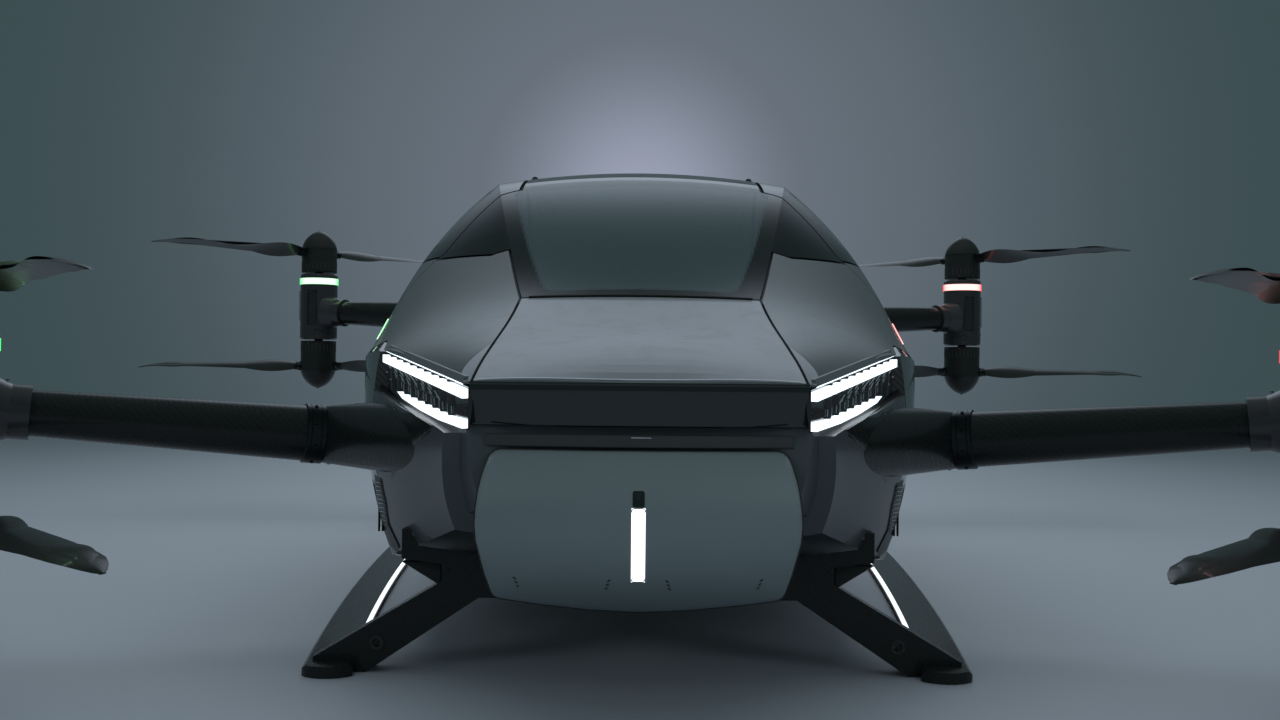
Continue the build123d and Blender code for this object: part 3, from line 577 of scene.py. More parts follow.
class Palette:
    """The vehicle's finishes."""

    body = LacqueredPaint("body_paint_graphite", "body_paint", colour=(0.085, 0.102, 0.112),
                          metallic=0.45, roughness=0.4)
    # The nose panel wears the body's paint painted lighter: a painted highlight for the light that
    # falls on its face.
    nose = LacqueredPaint("nose_paint_light", "body_paint", colour=(0.125, 0.165, 0.18),
                          metallic=0.3, roughness=0.42)
    hull = LacqueredPaint("hull_paint_dark", "hull_grey", colour=(0.05, 0.062, 0.07), metallic=0.4,
                          roughness=0.42)
    strip_satin = Moulded("strip_satin_dark", "gloss_black", colour=(0.02, 0.023, 0.025),
                          roughness=0.4, depth=0.00003)
    gloss = GlossPolymer("band_gloss_black", "gloss_black", colour=(0.0035, 0.0065, 0.006),
                         roughness=0.16)
    carbon = TwillCarbon("carbon_flat", "carbon")
    frame_black = Moulded("frame_satin_black", "frame_black", colour=(0.009, 0.009, 0.01),
                          roughness=0.42)
    lamp_body = GlossPolymer("lamp_body_black", "lamp_housing", colour=(0.012, 0.013, 0.014),
                             roughness=0.12)
    lamp_fin = Moulded("lamp_fin_satin", "lamp_housing", colour=(0.1, 0.13, 0.145), roughness=0.4,
                       depth=0.00002)
    lamp_white = LitLens("lamp_white_lit", "lamp_white", strength=1.5)
    strip_light = LitLens("skid_strip_lit", "lamp_white", core=(0.95, 0.98, 1.0),
                          edge=(0.85, 0.9, 0.95), strength=1.1)
    cabin_light = LitLens("cabin_lamp", "trim", core=(0.9, 0.88, 0.8), edge=(0.7, 0.68, 0.6),
                          strength=0.4)
    lens_dark = GlossPolymer("sensor_lens", "gloss_black", colour=(0.007, 0.01, 0.011),
                             roughness=0.04)
    roof = LacqueredPaint("roof_gloss_dark", "body_paint", colour=(0.022, 0.034, 0.038),
                          metallic=0.1, roughness=0.6,
                          coat=0.0, specular=0.06)
    # Pale satin: along the hood's front edge it is a painted highlight; it also makes the short
    # dash on the nose strip.
    edge_light = Moulded("edge_satin_light", "body_paint", colour=(0.26, 0.3, 0.35), roughness=0.4,
                         depth=0.00002)
    lens_clear = GlossPolymer("beacon_lens", "lamp_white", colour=(0.3, 0.3, 0.31), roughness=0.08)
    liner = Moulded("roof_liner", "trim", colour=(0.11, 0.11, 0.112), roughness=0.85, grain=0.0012)
    port = LitLens("beacon_red_lit", "lamp_red", core=(1.0, 0.8, 0.76), edge=(1.0, 0.03, 0.02),
                   strength=1.2)
    tail = LitLens("tail_red_lit", "lamp_red", core=(0.8, 0.05, 0.03), edge=(0.5, 0.01, 0.01),
                   strength=1.4)
    starboard = LitLens("beacon_green_lit", "lamp_green", core=(0.84, 1.0, 0.87),
                        edge=(0.03, 0.9, 0.14), strength=1.15)
    collar = TurnedMetal("collar_anodised", "collar_metal", colour=(0.04, 0.046, 0.048),
                         lines=(60, 1, 1))
    steel = TurnedMetal("fastener_steel", "collar_metal", colour=(0.36, 0.37, 0.38),
                        roughness=0.26)
    steel_dark = TurnedMetal("dark_anodised_metal", "collar_metal", colour=(0.05, 0.056, 0.058),
                             roughness=0.34)
    pod = LacqueredPaint("pod_gloss_dark", "pod_shell", colour=(0.018, 0.02, 0.022), metallic=0.2,
                         roughness=0.28)
    rotor = TwillCarbon("rotor_carbon", "rotor_black", tow=0.003, dark=(0.007, 0.0095, 0.009),
                        light=(0.012, 0.0145, 0.014),
                        coat=0.2)
    spinner = GlossPolymer("spinner_gloss", "rotor_black", colour=(0.006, 0.0085, 0.008),
                           roughness=0.2)
    skid = TwillCarbon("skid_twill", "skid_carbon", dark=(0.0062, 0.0082, 0.008),
                       light=(0.0078, 0.0098, 0.0096), coat=0.15, roughness=0.28)
    rubber = Moulded("seal_rubber", "frame_black", colour=(0.012, 0.012, 0.012), roughness=0.7,
                     grain=0.0006)
    trim = Moulded("cabin_trim", "trim", colour=(0.035, 0.036, 0.039), roughness=0.6, grain=0.0014)
    carpet = Moulded("cabin_carpet", "trim", colour=(0.02, 0.02, 0.021), roughness=0.95,
                     grain=0.0022, depth=0.0012)
    leather = GrainLeather("seat_leather_dark", "seat_leather")
    bolster = GrainLeather("seat_leather_bolster", "seat_leather", colour=(0.028, 0.028, 0.03))
    stitch = Moulded("seat_thread", "seat_leather", colour=(0.24, 0.24, 0.25), roughness=0.7,
                     grain=0.0004)
    webbing = Webbing("harness_webbing", "trim")
    display = GlossPolymer("display_face", "display_glass", colour=(0.004, 0.005, 0.007),
                           roughness=0.05)
    battery = Moulded("battery_coat", "battery_case", colour=(0.07, 0.07, 0.072), roughness=0.6)
    windscreen = TintedGlass(
        "windscreen_tint", "screen_glass", Pane.WINDSCREEN,
        outline=((0.24, -1.345), (0.3156, -1.09), (0.3915, -0.655), (-0.02, -0.655),
                 (-0.02, -1.345), (0.24, -1.345)),
    )
    door_glass = TintedGlass(
        "door_glass_tint", "screen_glass", Pane.DOOR,
        outline=((-0.8, 1.065), (0.502, 1.065), (0.417, 1.262), (-0.59, 1.262), (-0.8, 1.065)),
    )


# Mesh kit


def from_bmesh(name: str, shape: bmesh.types.BMesh,
               smooth_angle: float = 32.0) -> bpy.types.Object:
    """Make an object from a bmesh and free it.

    Args:
        name: Name of the piece.
        shape: The bmesh.
        smooth_angle: Edges sharper than this, in degrees, stay hard.

    Returns:
        The object, linked to the scene.
    """
    limit = math.radians(smooth_angle)
    for face in shape.faces:
        face.smooth = True
    for edge in shape.edges:
        edge.smooth = len(edge.link_faces) == 2 and edge.calc_face_angle(math.pi) < limit
    mesh = bpy.data.meshes.new(name)
    shape.to_mesh(mesh)
    shape.free()
    return link(name, mesh)


def link(name: str, mesh: bpy.types.Mesh) -> bpy.types.Object:
    """Put a mesh in the scene as an object of that name and return it."""
    piece = bpy.data.objects.new(name, mesh)
    bpy.context.scene.collection.objects.link(piece)
    return piece


def bevelled(shape: bmesh.types.BMesh, width: float, segments: int = 2,
             angle: float = 40.0) -> None:
    """Round a bmesh's edges that are sharper than the angle, in degrees."""
    sharp = [e for e in shape.edges if len(e.link_faces) == 2
             and e.calc_face_angle(0) > math.radians(angle)]
    bmesh.ops.bevel(
        shape, geom=sharp, offset=width, segments=segments, profile=0.5, affect="EDGES",
        clamp_overlap=True
    )


def slab(shape: bmesh.types.BMesh, low: Point, high: Point, edge: float = 0.0, segments: int = 2,
         place: Matrix | None = None) -> None:
    """Add a box with rounded edges between two corners to a bmesh.

    Args:
        shape: The bmesh.
        low: Its lowest corner.
        high: Its highest corner.
        edge: Width of its rounded edges.
        segments: Steps of the rounding.
        place: Where the box goes, when its corners are in its own axes.
    """
    part = bmesh.new()
    bmesh.ops.create_cube(part, size=1.0)
    size = Vector(high) - Vector(low)
    centre = (Vector(high) + Vector(low)) / 2
    bmesh.ops.scale(part, vec=size, verts=part.verts)
    bmesh.ops.translate(part, vec=centre, verts=part.verts)
    if edge:
        bevelled(part, edge, segments)
    absorb(shape, part, place)


def absorb(shape: bmesh.types.BMesh, part: bmesh.types.BMesh, place: Matrix | None = None) -> None:
    """Move a bmesh's geometry into another, placed by a matrix, and free it."""
    if place is not None:
        part.transform(place)
    mesh = bpy.data.meshes.new("part")
    part.to_mesh(mesh)
    part.free()
    shape.from_mesh(mesh)
    bpy.data.meshes.remove(mesh)


def turned(shape: bmesh.types.BMesh, profile: Sequence[tuple[float, float]], steps: int = 48,
           place: Matrix | None = None) -> None:
    """Add a solid turned about its Z axis to a bmesh.

    Args:
        shape: The bmesh.
        profile: Radius and height of each point, a closed outline when both ends lie on the axis.
        steps: Sides round the axis.
        place: Where the solid goes.
    """
    part = bmesh.new()
    rings = []
    for radius, height in profile:
        if radius < 1e-6:
            rings.append([part.verts.new((0, 0, height))])
            continue
        ring = []
        for i in range(steps):
            angle = 2 * math.pi * i / steps
            ring.append(
                part.verts.new((radius * math.cos(angle), radius * math.sin(angle), height)))
        rings.append(ring)
    closed = len(rings[0]) > 1 and len(rings[-1]) > 1
    pairs = list(zip(rings, rings[1:])) + ([(rings[-1], rings[0])] if closed else [])
    for first, second in pairs:
        for i in range(steps):
            j = (i + 1) % steps
            if len(first) == 1:
                part.faces.new((first[0], second[j], second[i]))
            elif len(second) == 1:
                part.faces.new((first[i], first[j], second[0]))
            else:
                part.faces.new((first[i], first[j], second[j], second[i]))
    bmesh.ops.recalc_face_normals(part, faces=part.faces)
    absorb(shape, part, place)


def lofted(shape: bmesh.types.BMesh, rings: Sequence[Sequence[Point]]) -> None:
    """Add a solid through closed rings of equal length to a bmesh."""
    part = bmesh.new()
    rows = [[part.verts.new(point) for point in ring] for ring in rings]
    for first, second in zip(rows, rows[1:]):
        for i in range(len(first)):
            j = (i + 1) % len(first)
            part.faces.new((first[i], first[j], second[j], second[i]))
    part.faces.new(list(reversed(rows[0])))
    part.faces.new(rows[-1])
    bmesh.ops.recalc_face_normals(part, faces=part.faces)
    absorb(shape, part)


def rounded_outline(half_u: float, half_v: float, corner: float,
                    per_corner: int = 6) -> list[tuple[float, float]]:
    """Return the points of a rounded rectangle round the origin, anticlockwise."""
    points = []
    for quarter, (sense_u, sense_v) in enumerate(((1, 1), (-1, 1), (-1, -1), (1, -1))):
        for i in range(per_corner + 1):
            angle = math.pi / 2 * (quarter + i / per_corner)
            points.append((
                sense_u * (half_u - corner) + corner * math.cos(angle),
                sense_v * (half_v - corner) + corner * math.sin(angle),
            ))
    return points


def facing_matrix(origin: Point, normal: Point, up: Point = (0, 0, 1)) -> Matrix:
    """Return the place of a piece that lies on a surface.

    Args:
        origin: Point of the surface.
        normal: Direction that the piece's own Z takes.
        up: Direction that the piece's own Y leans towards.

    Returns:
        The matrix.
    """
    z_axis = Vector(normal).normalized()
    x_axis = Vector(up).cross(z_axis)
    if x_axis.length < 1e-5:
        x_axis = Vector((0, 1, 0)).cross(z_axis)
    x_axis.normalize()
    y_axis = z_axis.cross(x_axis)
    turn = Matrix((x_axis, y_axis, z_axis)).transposed().to_4x4()
    return Matrix.Translation(Vector(origin)) @ turn


def mirrored(shape: bmesh.types.BMesh) -> bmesh.types.BMesh:
    """Return a copy of a bmesh on the other side of the vehicle."""
    other = shape.copy()
    for vert in other.verts:
        vert.co.x = -vert.co.x
    bmesh.ops.reverse_faces(other, faces=other.faces)
    return other


def on_each_side(shape: bmesh.types.BMesh) -> Iterator[tuple[Side, bmesh.types.BMesh]]:
    """Yield each side with its copy of a left piece's bmesh."""
    for side in Side:
        yield side, shape.copy() if side is Side.LEFT else mirrored(shape)


def flipped(line: Iterable[Point]) -> list[Vector]:
    """Return a line's mirror image on the other side of the vehicle."""
    return [Vector(point) * Vector((-1, 1, 1)) for point in line]


def spread(start: float, run: float, count: int) -> list[float]:
    """Return so many equal steps along a run, with both ends."""
    return [start + run * i / count for i in range(count + 1)]


def spokes(count: int, phase: float = 0.0) -> list[Vector]:
    """Return directions evenly round the Z axis, turned by a share of a step."""
    angles = [2 * math.pi * (i + phase) / count for i in range(count)]
    return [Vector((math.cos(angle), math.sin(angle), 0)) for angle in angles]


def publish(piece: bpy.types.Object, finish: Finish, body: str = AIRFRAME,
            replaced: Sequence[str] = ()) -> bpy.types.Object:
    """Dress a finished piece, hand it to its body and report it.

    Args:
        piece: The piece, its mesh final.
        finish: Its finish.
        body: The body that it rides on.
        replaced: CAD nodes that it stands for.

    Returns:
        The piece.
    """
    if not piece.data.materials:
        piece.data.materials.append(finish.material())
    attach(piece, body)
    if replaced:
        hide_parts(*replaced)
    log.info("%s: %d faces on %s", piece.name, len(piece.data.polygons), body)
    return piece


class Skin:
    """Surface of a CAD node, on which trim is laid by casting rays."""

    def __init__(self, *nodes: str) -> None:
        """Gather the nodes' faces."""
        points: list[Vector] = []
        faces: list[list[int]] = []
        for node in nodes:
            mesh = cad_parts[node].data
            base = len(points)
            points += [vert.co.copy() for vert in mesh.vertices]
            faces += [[base + index for index in face.vertices] for face in mesh.polygons]
        self.tree = BVHTree.FromPolygons(points, faces)

    def cast(self, origin: Point, direction: Point) -> tuple[Vector, Vector]:
        """Return the first point met and the surface's direction there, towards the origin."""
        ray = Vector(direction).normalized()
        point, normal, _, _ = self.tree.ray_cast(Vector(origin), ray)
        if point is None:
            raise ValueError(f"no surface from {tuple(origin)} along {tuple(direction)}")
        return point, (-normal if normal.dot(ray) > 0 else normal)

    def plate(self, shape: bmesh.types.BMesh, origin: Point, direction: Point, u_axis: Point,
              outline: Sequence[tuple[float, float]], proud: float, edge: float = 0.0015,
              rings: int = 4) -> None:
        """Add a thin plate that follows the surface to a bmesh.

        Args:
            shape: The bmesh.
            origin: Where the rays start, in front of the plate's middle.
            direction: Their direction.
            u_axis: Direction of the outline's first coordinate.
            outline: Points of the plate's edge.
            proud: Height of its face above the surface.
            edge: Width of its rounded edge.
            rings: Rings of points between the middle and the edge.
        """
        ray = Vector(direction).normalized()
        u_dir = Vector(u_axis).normalized()
        v_dir = ray.cross(u_dir) * -1
        reach = max(math.hypot(u, v) for u, v in outline)
        steps = [((i + 1) / rings, proud) for i in range(rings)]
        steps[-1] = (1.0 - edge / reach, proud)
        steps += [(1.0, proud - edge * 0.6), (1.0 + edge * 0.2 / reach, -0.0015)]
        part = bmesh.new()
        middle, normal = self.cast(origin, ray)
        centre = part.verts.new(middle + normal * proud)
        rows = []
        for share, height in steps:
            row = []
            for u, v in outline:
                point, normal = self.cast(Vector(origin) + u_dir * u * share + v_dir * v * share,
                                          ray)
                row.append(part.verts.new(point + normal * height))
            rows.append(row)
        count = len(outline)
        for i in range(count):
            part.faces.new((centre, rows[0][i], rows[0][(i + 1) % count]))
            for first, second in zip(rows, rows[1:]):
                part.faces.new(
                    (first[i], second[i], second[(i + 1) % count], first[(i + 1) % count]))
        part.faces.new(rows[-1])
        bmesh.ops.recalc_face_normals(part, faces=part.faces)
        absorb(shape, part)

    def path(self, points: Iterable[Point], direction: Point, lift: float = 0.0) -> list[Vector]:
        """Return points cast onto the surface and lifted off it."""
        found = []
        for origin in points:
            point, normal = self.cast(origin, direction)
            found.append(point + normal * lift)
        return found


# Geometry Nodes kit


class GrowTree:
    """A Geometry Nodes tree with named inputs, whose result becomes a plain mesh."""

    def __init__(self, name: str, inputs: dict[str, tuple[str, Any]]) -> None:
        """Start a tree.

        Args:
            name: Name of the tree.
            inputs: Kind of socket and default value of each named input.
        """
        self.tree = bpy.data.node_groups.new(name, "GeometryNodeTree")
        interface = self.tree.interface
        interface.new_socket("Geometry", in_out="INPUT", socket_type="NodeSocketGeometry")
        interface.new_socket("Geometry", in_out="OUTPUT", socket_type="NodeSocketGeometry")
        self.keys: dict[str, str] = {}
        for label, (kind, value) in {**inputs, "Material": ("NodeSocketMaterial", None)}.items():
            socket = interface.new_socket(label, in_out="INPUT", socket_type=kind)
            if value is not None:
                socket.default_value = value
            self.keys[label] = socket.identifier
        self.start = self.tree.nodes.new("NodeGroupInput")
        self.end = self.tree.nodes.new("NodeGroupOutput")

    def given(self, label: str) -> bpy.types.NodeSocket:
        """Return a named input."""
        return self.start.outputs[label]

    def node(self, kind: str, settings: dict[str, Any] | None = None,
             sockets: dict[Any, Any] | None = None) -> bpy.types.Node:
        """Add a node with its settings and the values or links of its inputs, and return it."""
        node = self.tree.nodes.new(kind)
        for key, value in (settings or {}).items():
            setattr(node, key, value)
        for key, value in (sockets or {}).items():
            if isinstance(value, bpy.types.NodeSocket):
                self.tree.links.new(value, node.inputs[key])
            else:
                node.inputs[key].default_value = value
        return node

    def math(self, operation: str, first: Any, second: Any = 0.0) -> bpy.types.NodeSocket:
        """Return the result of a Math node."""
        return self.node("ShaderNodeMath", {"operation": operation},
                         {0: first, 1: second}).outputs[0]

    def close(self, geometry: bpy.types.NodeSocket) -> "GrowTree":
        """End the tree in real, dressed geometry and return it."""
        real = self.node("GeometryNodeRealizeInstances", {}, {"Geometry": geometry})
        dressed = self.node(
            "GeometryNodeSetMaterial", {},
            {"Geometry": real.outputs[0], "Material": self.given("Material")}
        )
        self.tree.links.new(dressed.outputs[0], self.end.inputs[0])
        return self

    def grow(self, name: str, seed: bpy.types.Mesh, finish: Finish,
             **values: Any) -> bpy.types.Object:
        """Run the tree on a mesh.

        Args:
            name: Name of the new piece.
            seed: Points or lines that the tree starts from.
            finish: The piece's finish.
            values: The tree's inputs, with spaces written as underscores.

        Returns:
            The piece, with no modifier left.
        """
        carrier = link(name + "_seed", seed)
        modifier = carrier.modifiers.new(name, "NODES")
        modifier.node_group = self.tree
        for label, value in {**values, "Material": finish.material()}.items():
            modifier[self.keys[label.replace("_", " ")]] = value
        graph = bpy.context.evaluated_depsgraph_get()
        mesh = bpy.data.meshes.new_from_object(carrier.evaluated_get(graph), depsgraph=graph)
        carrier.modifiers.remove(modifier)
        bpy.data.objects.remove(carrier)
        mesh.name = name
        return link(name, mesh)


def screw_tree() -> GrowTree:
    """Return a tree that sets a socket-head screw on each point, along its "facing" vector."""
    tree = GrowTree("screw_heads", {
        "Head Radius": ("NodeSocketFloat", 0.005),
        "Head Height": ("NodeSocketFloat", 0.003),
        "Sides": ("NodeSocketInt", 16),
    })
    radius, height = tree.given("Head Radius"), tree.given("Head Height")
    head = tree.node("GeometryNodeMeshCone", {}, {
        "Vertices": tree.given("Sides"),
        "Radius Top": tree.math("MULTIPLY", radius, 0.88),
        "Radius Bottom": radius,
        "Depth": height,
    })
    rim = tree.node("GeometryNodeExtrudeMesh", {"mode": "FACES"}, {
        "Mesh": head.outputs["Mesh"], "Selection": head.outputs["Top"], "Offset Scale": 0.0,
    })
    narrowed = tree.node("GeometryNodeScaleElements", {"domain": "FACE"}, {
        "Geometry": rim.outputs["Mesh"], "Selection": rim.outputs["Top"], "Scale": 0.56,
    })
    socket = tree.node("GeometryNodeExtrudeMesh", {"mode": "FACES"}, {
        "Mesh": narrowed.outputs[0],
        "Selection": rim.outputs["Top"],
        "Offset Scale": tree.math("MULTIPLY", height, -0.6),
    })
    facing = tree.node("GeometryNodeInputNamedAttribute", {"data_type": "FLOAT_VECTOR"},
                       {"Name": "facing"})
    turn = tree.node("FunctionNodeAlignRotationToVector", {"axis": "Z"},
                     {"Vector": facing.outputs[0]})
    placed = tree.node("GeometryNodeInstanceOnPoints", {}, {
        "Points": tree.given("Geometry"), "Instance": socket.outputs["Mesh"],
        "Rotation": turn.outputs[0],
    })
    return tree.close(placed.outputs[0])


def slat_tree() -> GrowTree:
    """Return a tree that stands a run of equal slats between two points."""
    tree = GrowTree("slat_run", {
        "Start": ("NodeSocketVector", (0, 0, 0)),
        "End": ("NodeSocketVector", (0, 0, 1)),
        "Count": ("NodeSocketInt", 5),
        "Slat Size": ("NodeSocketVector", (0.1, 0.01, 0.004)),
        "Tilt": ("NodeSocketVector", (0, 0, 0)),
    })
    line = tree.node("GeometryNodeMeshLine", {"mode": "END_POINTS"}, {
        "Count": tree.given("Count"), "Start Location": tree.given("Start"),
        "Offset": tree.given("End"),
    })
    slat = tree.node("GeometryNodeMeshCube", {}, {"Size": tree.given("Slat Size")})
    turn = tree.node("FunctionNodeEulerToRotation", {}, {0: tree.given("Tilt")})
    placed = tree.node("GeometryNodeInstanceOnPoints", {}, {
        "Points": line.outputs[0], "Instance": slat.outputs[0], "Rotation": turn.outputs[0],
    })
    return tree.close(placed.outputs[0])


def bead_tree() -> GrowTree:
    """Return a tree that sweeps a flattened round section along the seed's lines."""
    tree = GrowTree("bead", {
        "Radius": ("NodeSocketFloat", 0.003),
        "Sides": ("NodeSocketInt", 8),
    })
    curve = tree.node("GeometryNodeMeshToCurve", {}, {"Mesh": tree.given("Geometry")})
    section = tree.node("GeometryNodeCurvePrimitiveCircle", {}, {
        "Resolution": tree.given("Sides"), "Radius": tree.given("Radius"),
    })
    swept = tree.node("GeometryNodeCurveToMesh", {}, {
        "Curve": curve.outputs[0], "Profile Curve": section.outputs[0], "Fill Caps": True,
    })
    smooth = tree.node("GeometryNodeSetShadeSmooth", {}, {0: swept.outputs[0]})
    return tree.close(smooth.outputs[0])


def stitch_tree() -> GrowTree:
    """Return a tree that lays thread stitches end to end along the seed's lines."""
    tree = GrowTree("stitches", {
        "Pitch": ("NodeSocketFloat", 0.008),
        "Stitch Length": ("NodeSocketFloat", 0.0052),
        "Thread Radius": ("NodeSocketFloat", 0.0009),
    })
    curve = tree.node("GeometryNodeMeshToCurve", {}, {"Mesh": tree.given("Geometry")})
    spaced = tree.node("GeometryNodeResampleCurve", {"mode": "LENGTH"}, {
        "Curve": curve.outputs[0], "Length": tree.given("Pitch"),
    })
    tangent = tree.node("GeometryNodeInputTangent")
    turn = tree.node("FunctionNodeAlignRotationToVector", {"axis": "Z"},
                     {"Vector": tangent.outputs[0]})
    thread = tree.node("GeometryNodeMeshCylinder", {}, {
        "Vertices": 6, "Radius": tree.given("Thread Radius"), "Depth": tree.given("Stitch Length"),
    })
    placed = tree.node("GeometryNodeInstanceOnPoints", {}, {
        "Points": spaced.outputs[0], "Instance": thread.outputs["Mesh"],
        "Rotation": turn.outputs[0],
    })
    return tree.close(placed.outputs[0])


class Workshop:
    """The Geometry Nodes trees that the sub-assemblies share."""

    def __init__(self) -> None:
        """Build the trees."""
        self.screws = screw_tree()
        self.slats = slat_tree()
        self.beads = bead_tree()
        self.stitches = stitch_tree()

    def screw(self, name: str, spots: Sequence[tuple[Point, Point]], radius: float = 0.005,
              height: float = 0.0028, finish: Finish = Palette.steel, body: str = AIRFRAME,
              sides: int = 14) -> bpy.types.Object:
        """Set screws on a surface.

        Args:
            name: Name of the piece.
            spots: Place and outward direction of each screw.
            radius: Radius of a head.
            height: Height of a head.
            finish: Their finish.
            body: The body that they ride on.
            sides: Sides of a head.

        Returns:
            The screws as one piece.
        """
        seed = bpy.data.meshes.new(name)
        seed.from_pydata([tuple(spot) for spot, _ in spots], [], [])
        facing = seed.attributes.new("facing", "FLOAT_VECTOR", "POINT")
        for item, (_, normal) in zip(facing.data, spots):
            item.vector = Vector(normal).normalized()
        piece = self.screws.grow(
            name, seed, finish, Head_Radius=radius, Head_Height=height, Sides=sides
        )
        return publish(piece, finish, body)

    def run(self, name: str, start: Point, end: Point, count: int, size: Point, finish: Finish,
            tilt: Point = (0, 0, 0)) -> bpy.types.Object:
        """Stand a run of slats between two points and return it as one piece."""
        seed = bpy.data.meshes.new(name)
        seed.from_pydata([tuple(start)], [], [])
        piece = self.slats.grow(
            name, seed, finish, Start=tuple(start), End=tuple(end), Count=count,
            Slat_Size=tuple(size),
            Tilt=tuple(tilt),
        )
        return publish(piece, finish)

    @staticmethod
    def lines(name: str, paths: Sequence[Sequence[Point]], closed: bool = False) -> bpy.types.Mesh:
        """Return a mesh of lines through the points of each path."""
        points: list[tuple[float, ...]] = []
        edges: list[tuple[int, int]] = []
        for path in paths:
            base = len(points)
            points += [tuple(point) for point in path]
            edges += [(base + i, base + i + 1) for i in range(len(path) - 1)]
            if closed:
                edges.append((base + len(path) - 1, base))
        mesh = bpy.data.meshes.new(name)
        mesh.from_pydata(points, edges, [])
        return mesh

    def bead(self, name: str, paths: Sequence[Sequence[Point]], radius: float, finish: Finish,
             body: str = AIRFRAME, closed: bool = False, sides: int = 8) -> bpy.types.Object:
        """Sweep beads along paths and return them as one piece."""
        piece = self.beads.grow(
            name, self.lines(name, paths, closed), finish, Radius=radius, Sides=sides
        )
        return publish(piece, finish, body)

    def stitch(self, name: str, paths: Sequence[Sequence[Point]], closed: bool = False,
               pitch: float = 0.008) -> bpy.types.Object:
        """Lay stitches along paths and return them as one piece."""
        piece = self.stitches.grow(
            name, self.lines(name, paths, closed), Palette.stitch, Pitch=pitch,
            Stitch_Length=pitch * 0.65
        )
        return publish(piece, Palette.stitch)


def made(name: str, shape: bmesh.types.BMesh, finish: Finish, body: str = AIRFRAME,
         smooth_angle: float = 32.0) -> bpy.types.Object:
    """Publish a bmesh as a piece of the vehicle and return it."""
    return publish(from_bmesh(name, shape, smooth_angle), finish, body)


def on_both_sides(shape: bmesh.types.BMesh) -> bmesh.types.BMesh:
    """Add the mirror image of a bmesh to it and return it."""
    absorb(shape, mirrored(shape))
    return shape


def both_spots(spots: Sequence[tuple[Point, Point]]) -> list[tuple[Point, Point]]:
    """Return screw places with their mirror images."""
    other = [((-p[0], p[1], p[2]), (-n[0], n[1], n[2])) for p, n in spots]
    return list(spots) + other


def smoothed(points: Sequence[Vector], per_span: int) -> list[Vector]:
    """Return a smooth line through points, with so many steps for each span."""
    line = [Vector(point) for point in points]
    ends = [line[0] * 2 - line[1]] + line + [line[-1] * 2 - line[-2]]
    smooth = []
    for a, b, c, d in zip(ends, ends[1:], ends[2:], ends[3:]):
        for i in range(per_span):
            t = i / per_span
            smooth.append(0.5 * (
                2 * b + (c - a) * t + (2 * a - 5 * b + 4 * c - d) * t * t
                + (3 * b - a - 3 * c + d) * t * t * t
            ))
    smooth.append(line[-1])
    return smooth


# Sub-assemblies


@dataclass
class Headlamps:
    """Fins, hairline lights, brows and fastenings of both headlamps."""

    inner_end: Point = (0.356, -1.962)
    outer_end: Point = (0.632, -1.39)

    def _place(self, share: float, height: float, inset: float) -> Vector:
        """Return a point of the left lamp.

        Args:
            share: 0 at its inner end, 1 at its outer end.
            height: Height above the ground.
            inset: Depth under the lamp's face.

        Returns:
            The point.
        """
        run = Vector(self.outer_end) - Vector(self.inner_end)
        spot = Vector(self.inner_end) + run * share
        outward = Vector((run.y, -run.x)).normalized()
        return Vector((spot.x - outward.x * inset, spot.y - outward.y * inset, height))

    def _fins(self, shop: Workshop, name: str, shares: tuple[float, float], count: int,
              sweep: float, top: float, drop: float) -> None:
        """Stand a run of thin fins on both lamps' faces.

        Args:
            shop: The shared trees.
            name: Name of the run.
            shares: Shares along the lamp of the first and last fin.
            count: How many fins.
            sweep: How much further out, as a share, a fin's upper end lies.
            top: Depth of its upper end under the upper bar's top line.
            drop: Height of a fin.
        """
        skin = Skin("headlamp_housings")
        paths = []
        for i in range(count):
            share = shares[0] + (shares[1] - shares[0]) * i / (count - 1)
            height = 0.658 + 0.076 * share - top
            ends = ((share + sweep, height + 0.076 * sweep), (share, height - drop))
            fin = [skin.cast(self._place(s, z, 0.0) - Vector((0, 0.4, 0)), (0, 1, 0))[0]
                   for s, z in ends]
            paths += [fin, flipped(fin)]
        shop.bead(name, paths, 0.0013, Palette.lamp_fin, sides=6)

    def _hairline(self, shop: Workshop) -> None:
        """Lay the thin light and the brow over each upper bar."""
        shares = [i / 20 for i in range(21)]
        line = [self._place(0.01 + 0.93 * s, 0.6688 + 0.0728 * s, 0.004) for s in shares]
        shop.bead("lamp_hairlines", [line, flipped(line)], 0.0014, Palette.lamp_white)
        brow = bmesh.new()
        rings = []
        for share in shares:
            rings.append([
                self._place(0.015 + 0.925 * share, 0.6714 + 0.0728 * share + rise, inset)
                for rise, inset in ((0.0, 0.001), (0.013, 0.011), (0.013, 0.018), (0.0, 0.01))
            ])
        lofted(brow, rings)
        made("lamp_brows", on_both_sides(brow), Palette.body)

    def build(self, shop: Workshop) -> None:
        """Fit out both lamps."""
        self._fins(shop, "lamp_slanted_fins", (0.24, 0.8), 15, 0.12, 0.021, 0.022)
        self._fins(shop, "lamp_upright_fins", (0.12, 0.78), 15, 0.004, 0.045, 0.015)
        self._hairline(shop)
        spots = []
        for share, height in ((0.97, 0.722), (0.985, 0.69), (0.93, 0.672)):
            outward = Vector((
                self.outer_end[1] - self.inner_end[1], self.inner_end[0] - self.outer_end[0], 0,
            ))
            spots.append((self._place(share, height, 0.0125), outward.normalized()))
        shop.screw("lamp_screws", both_spots(spots), 0.0035, 0.002)


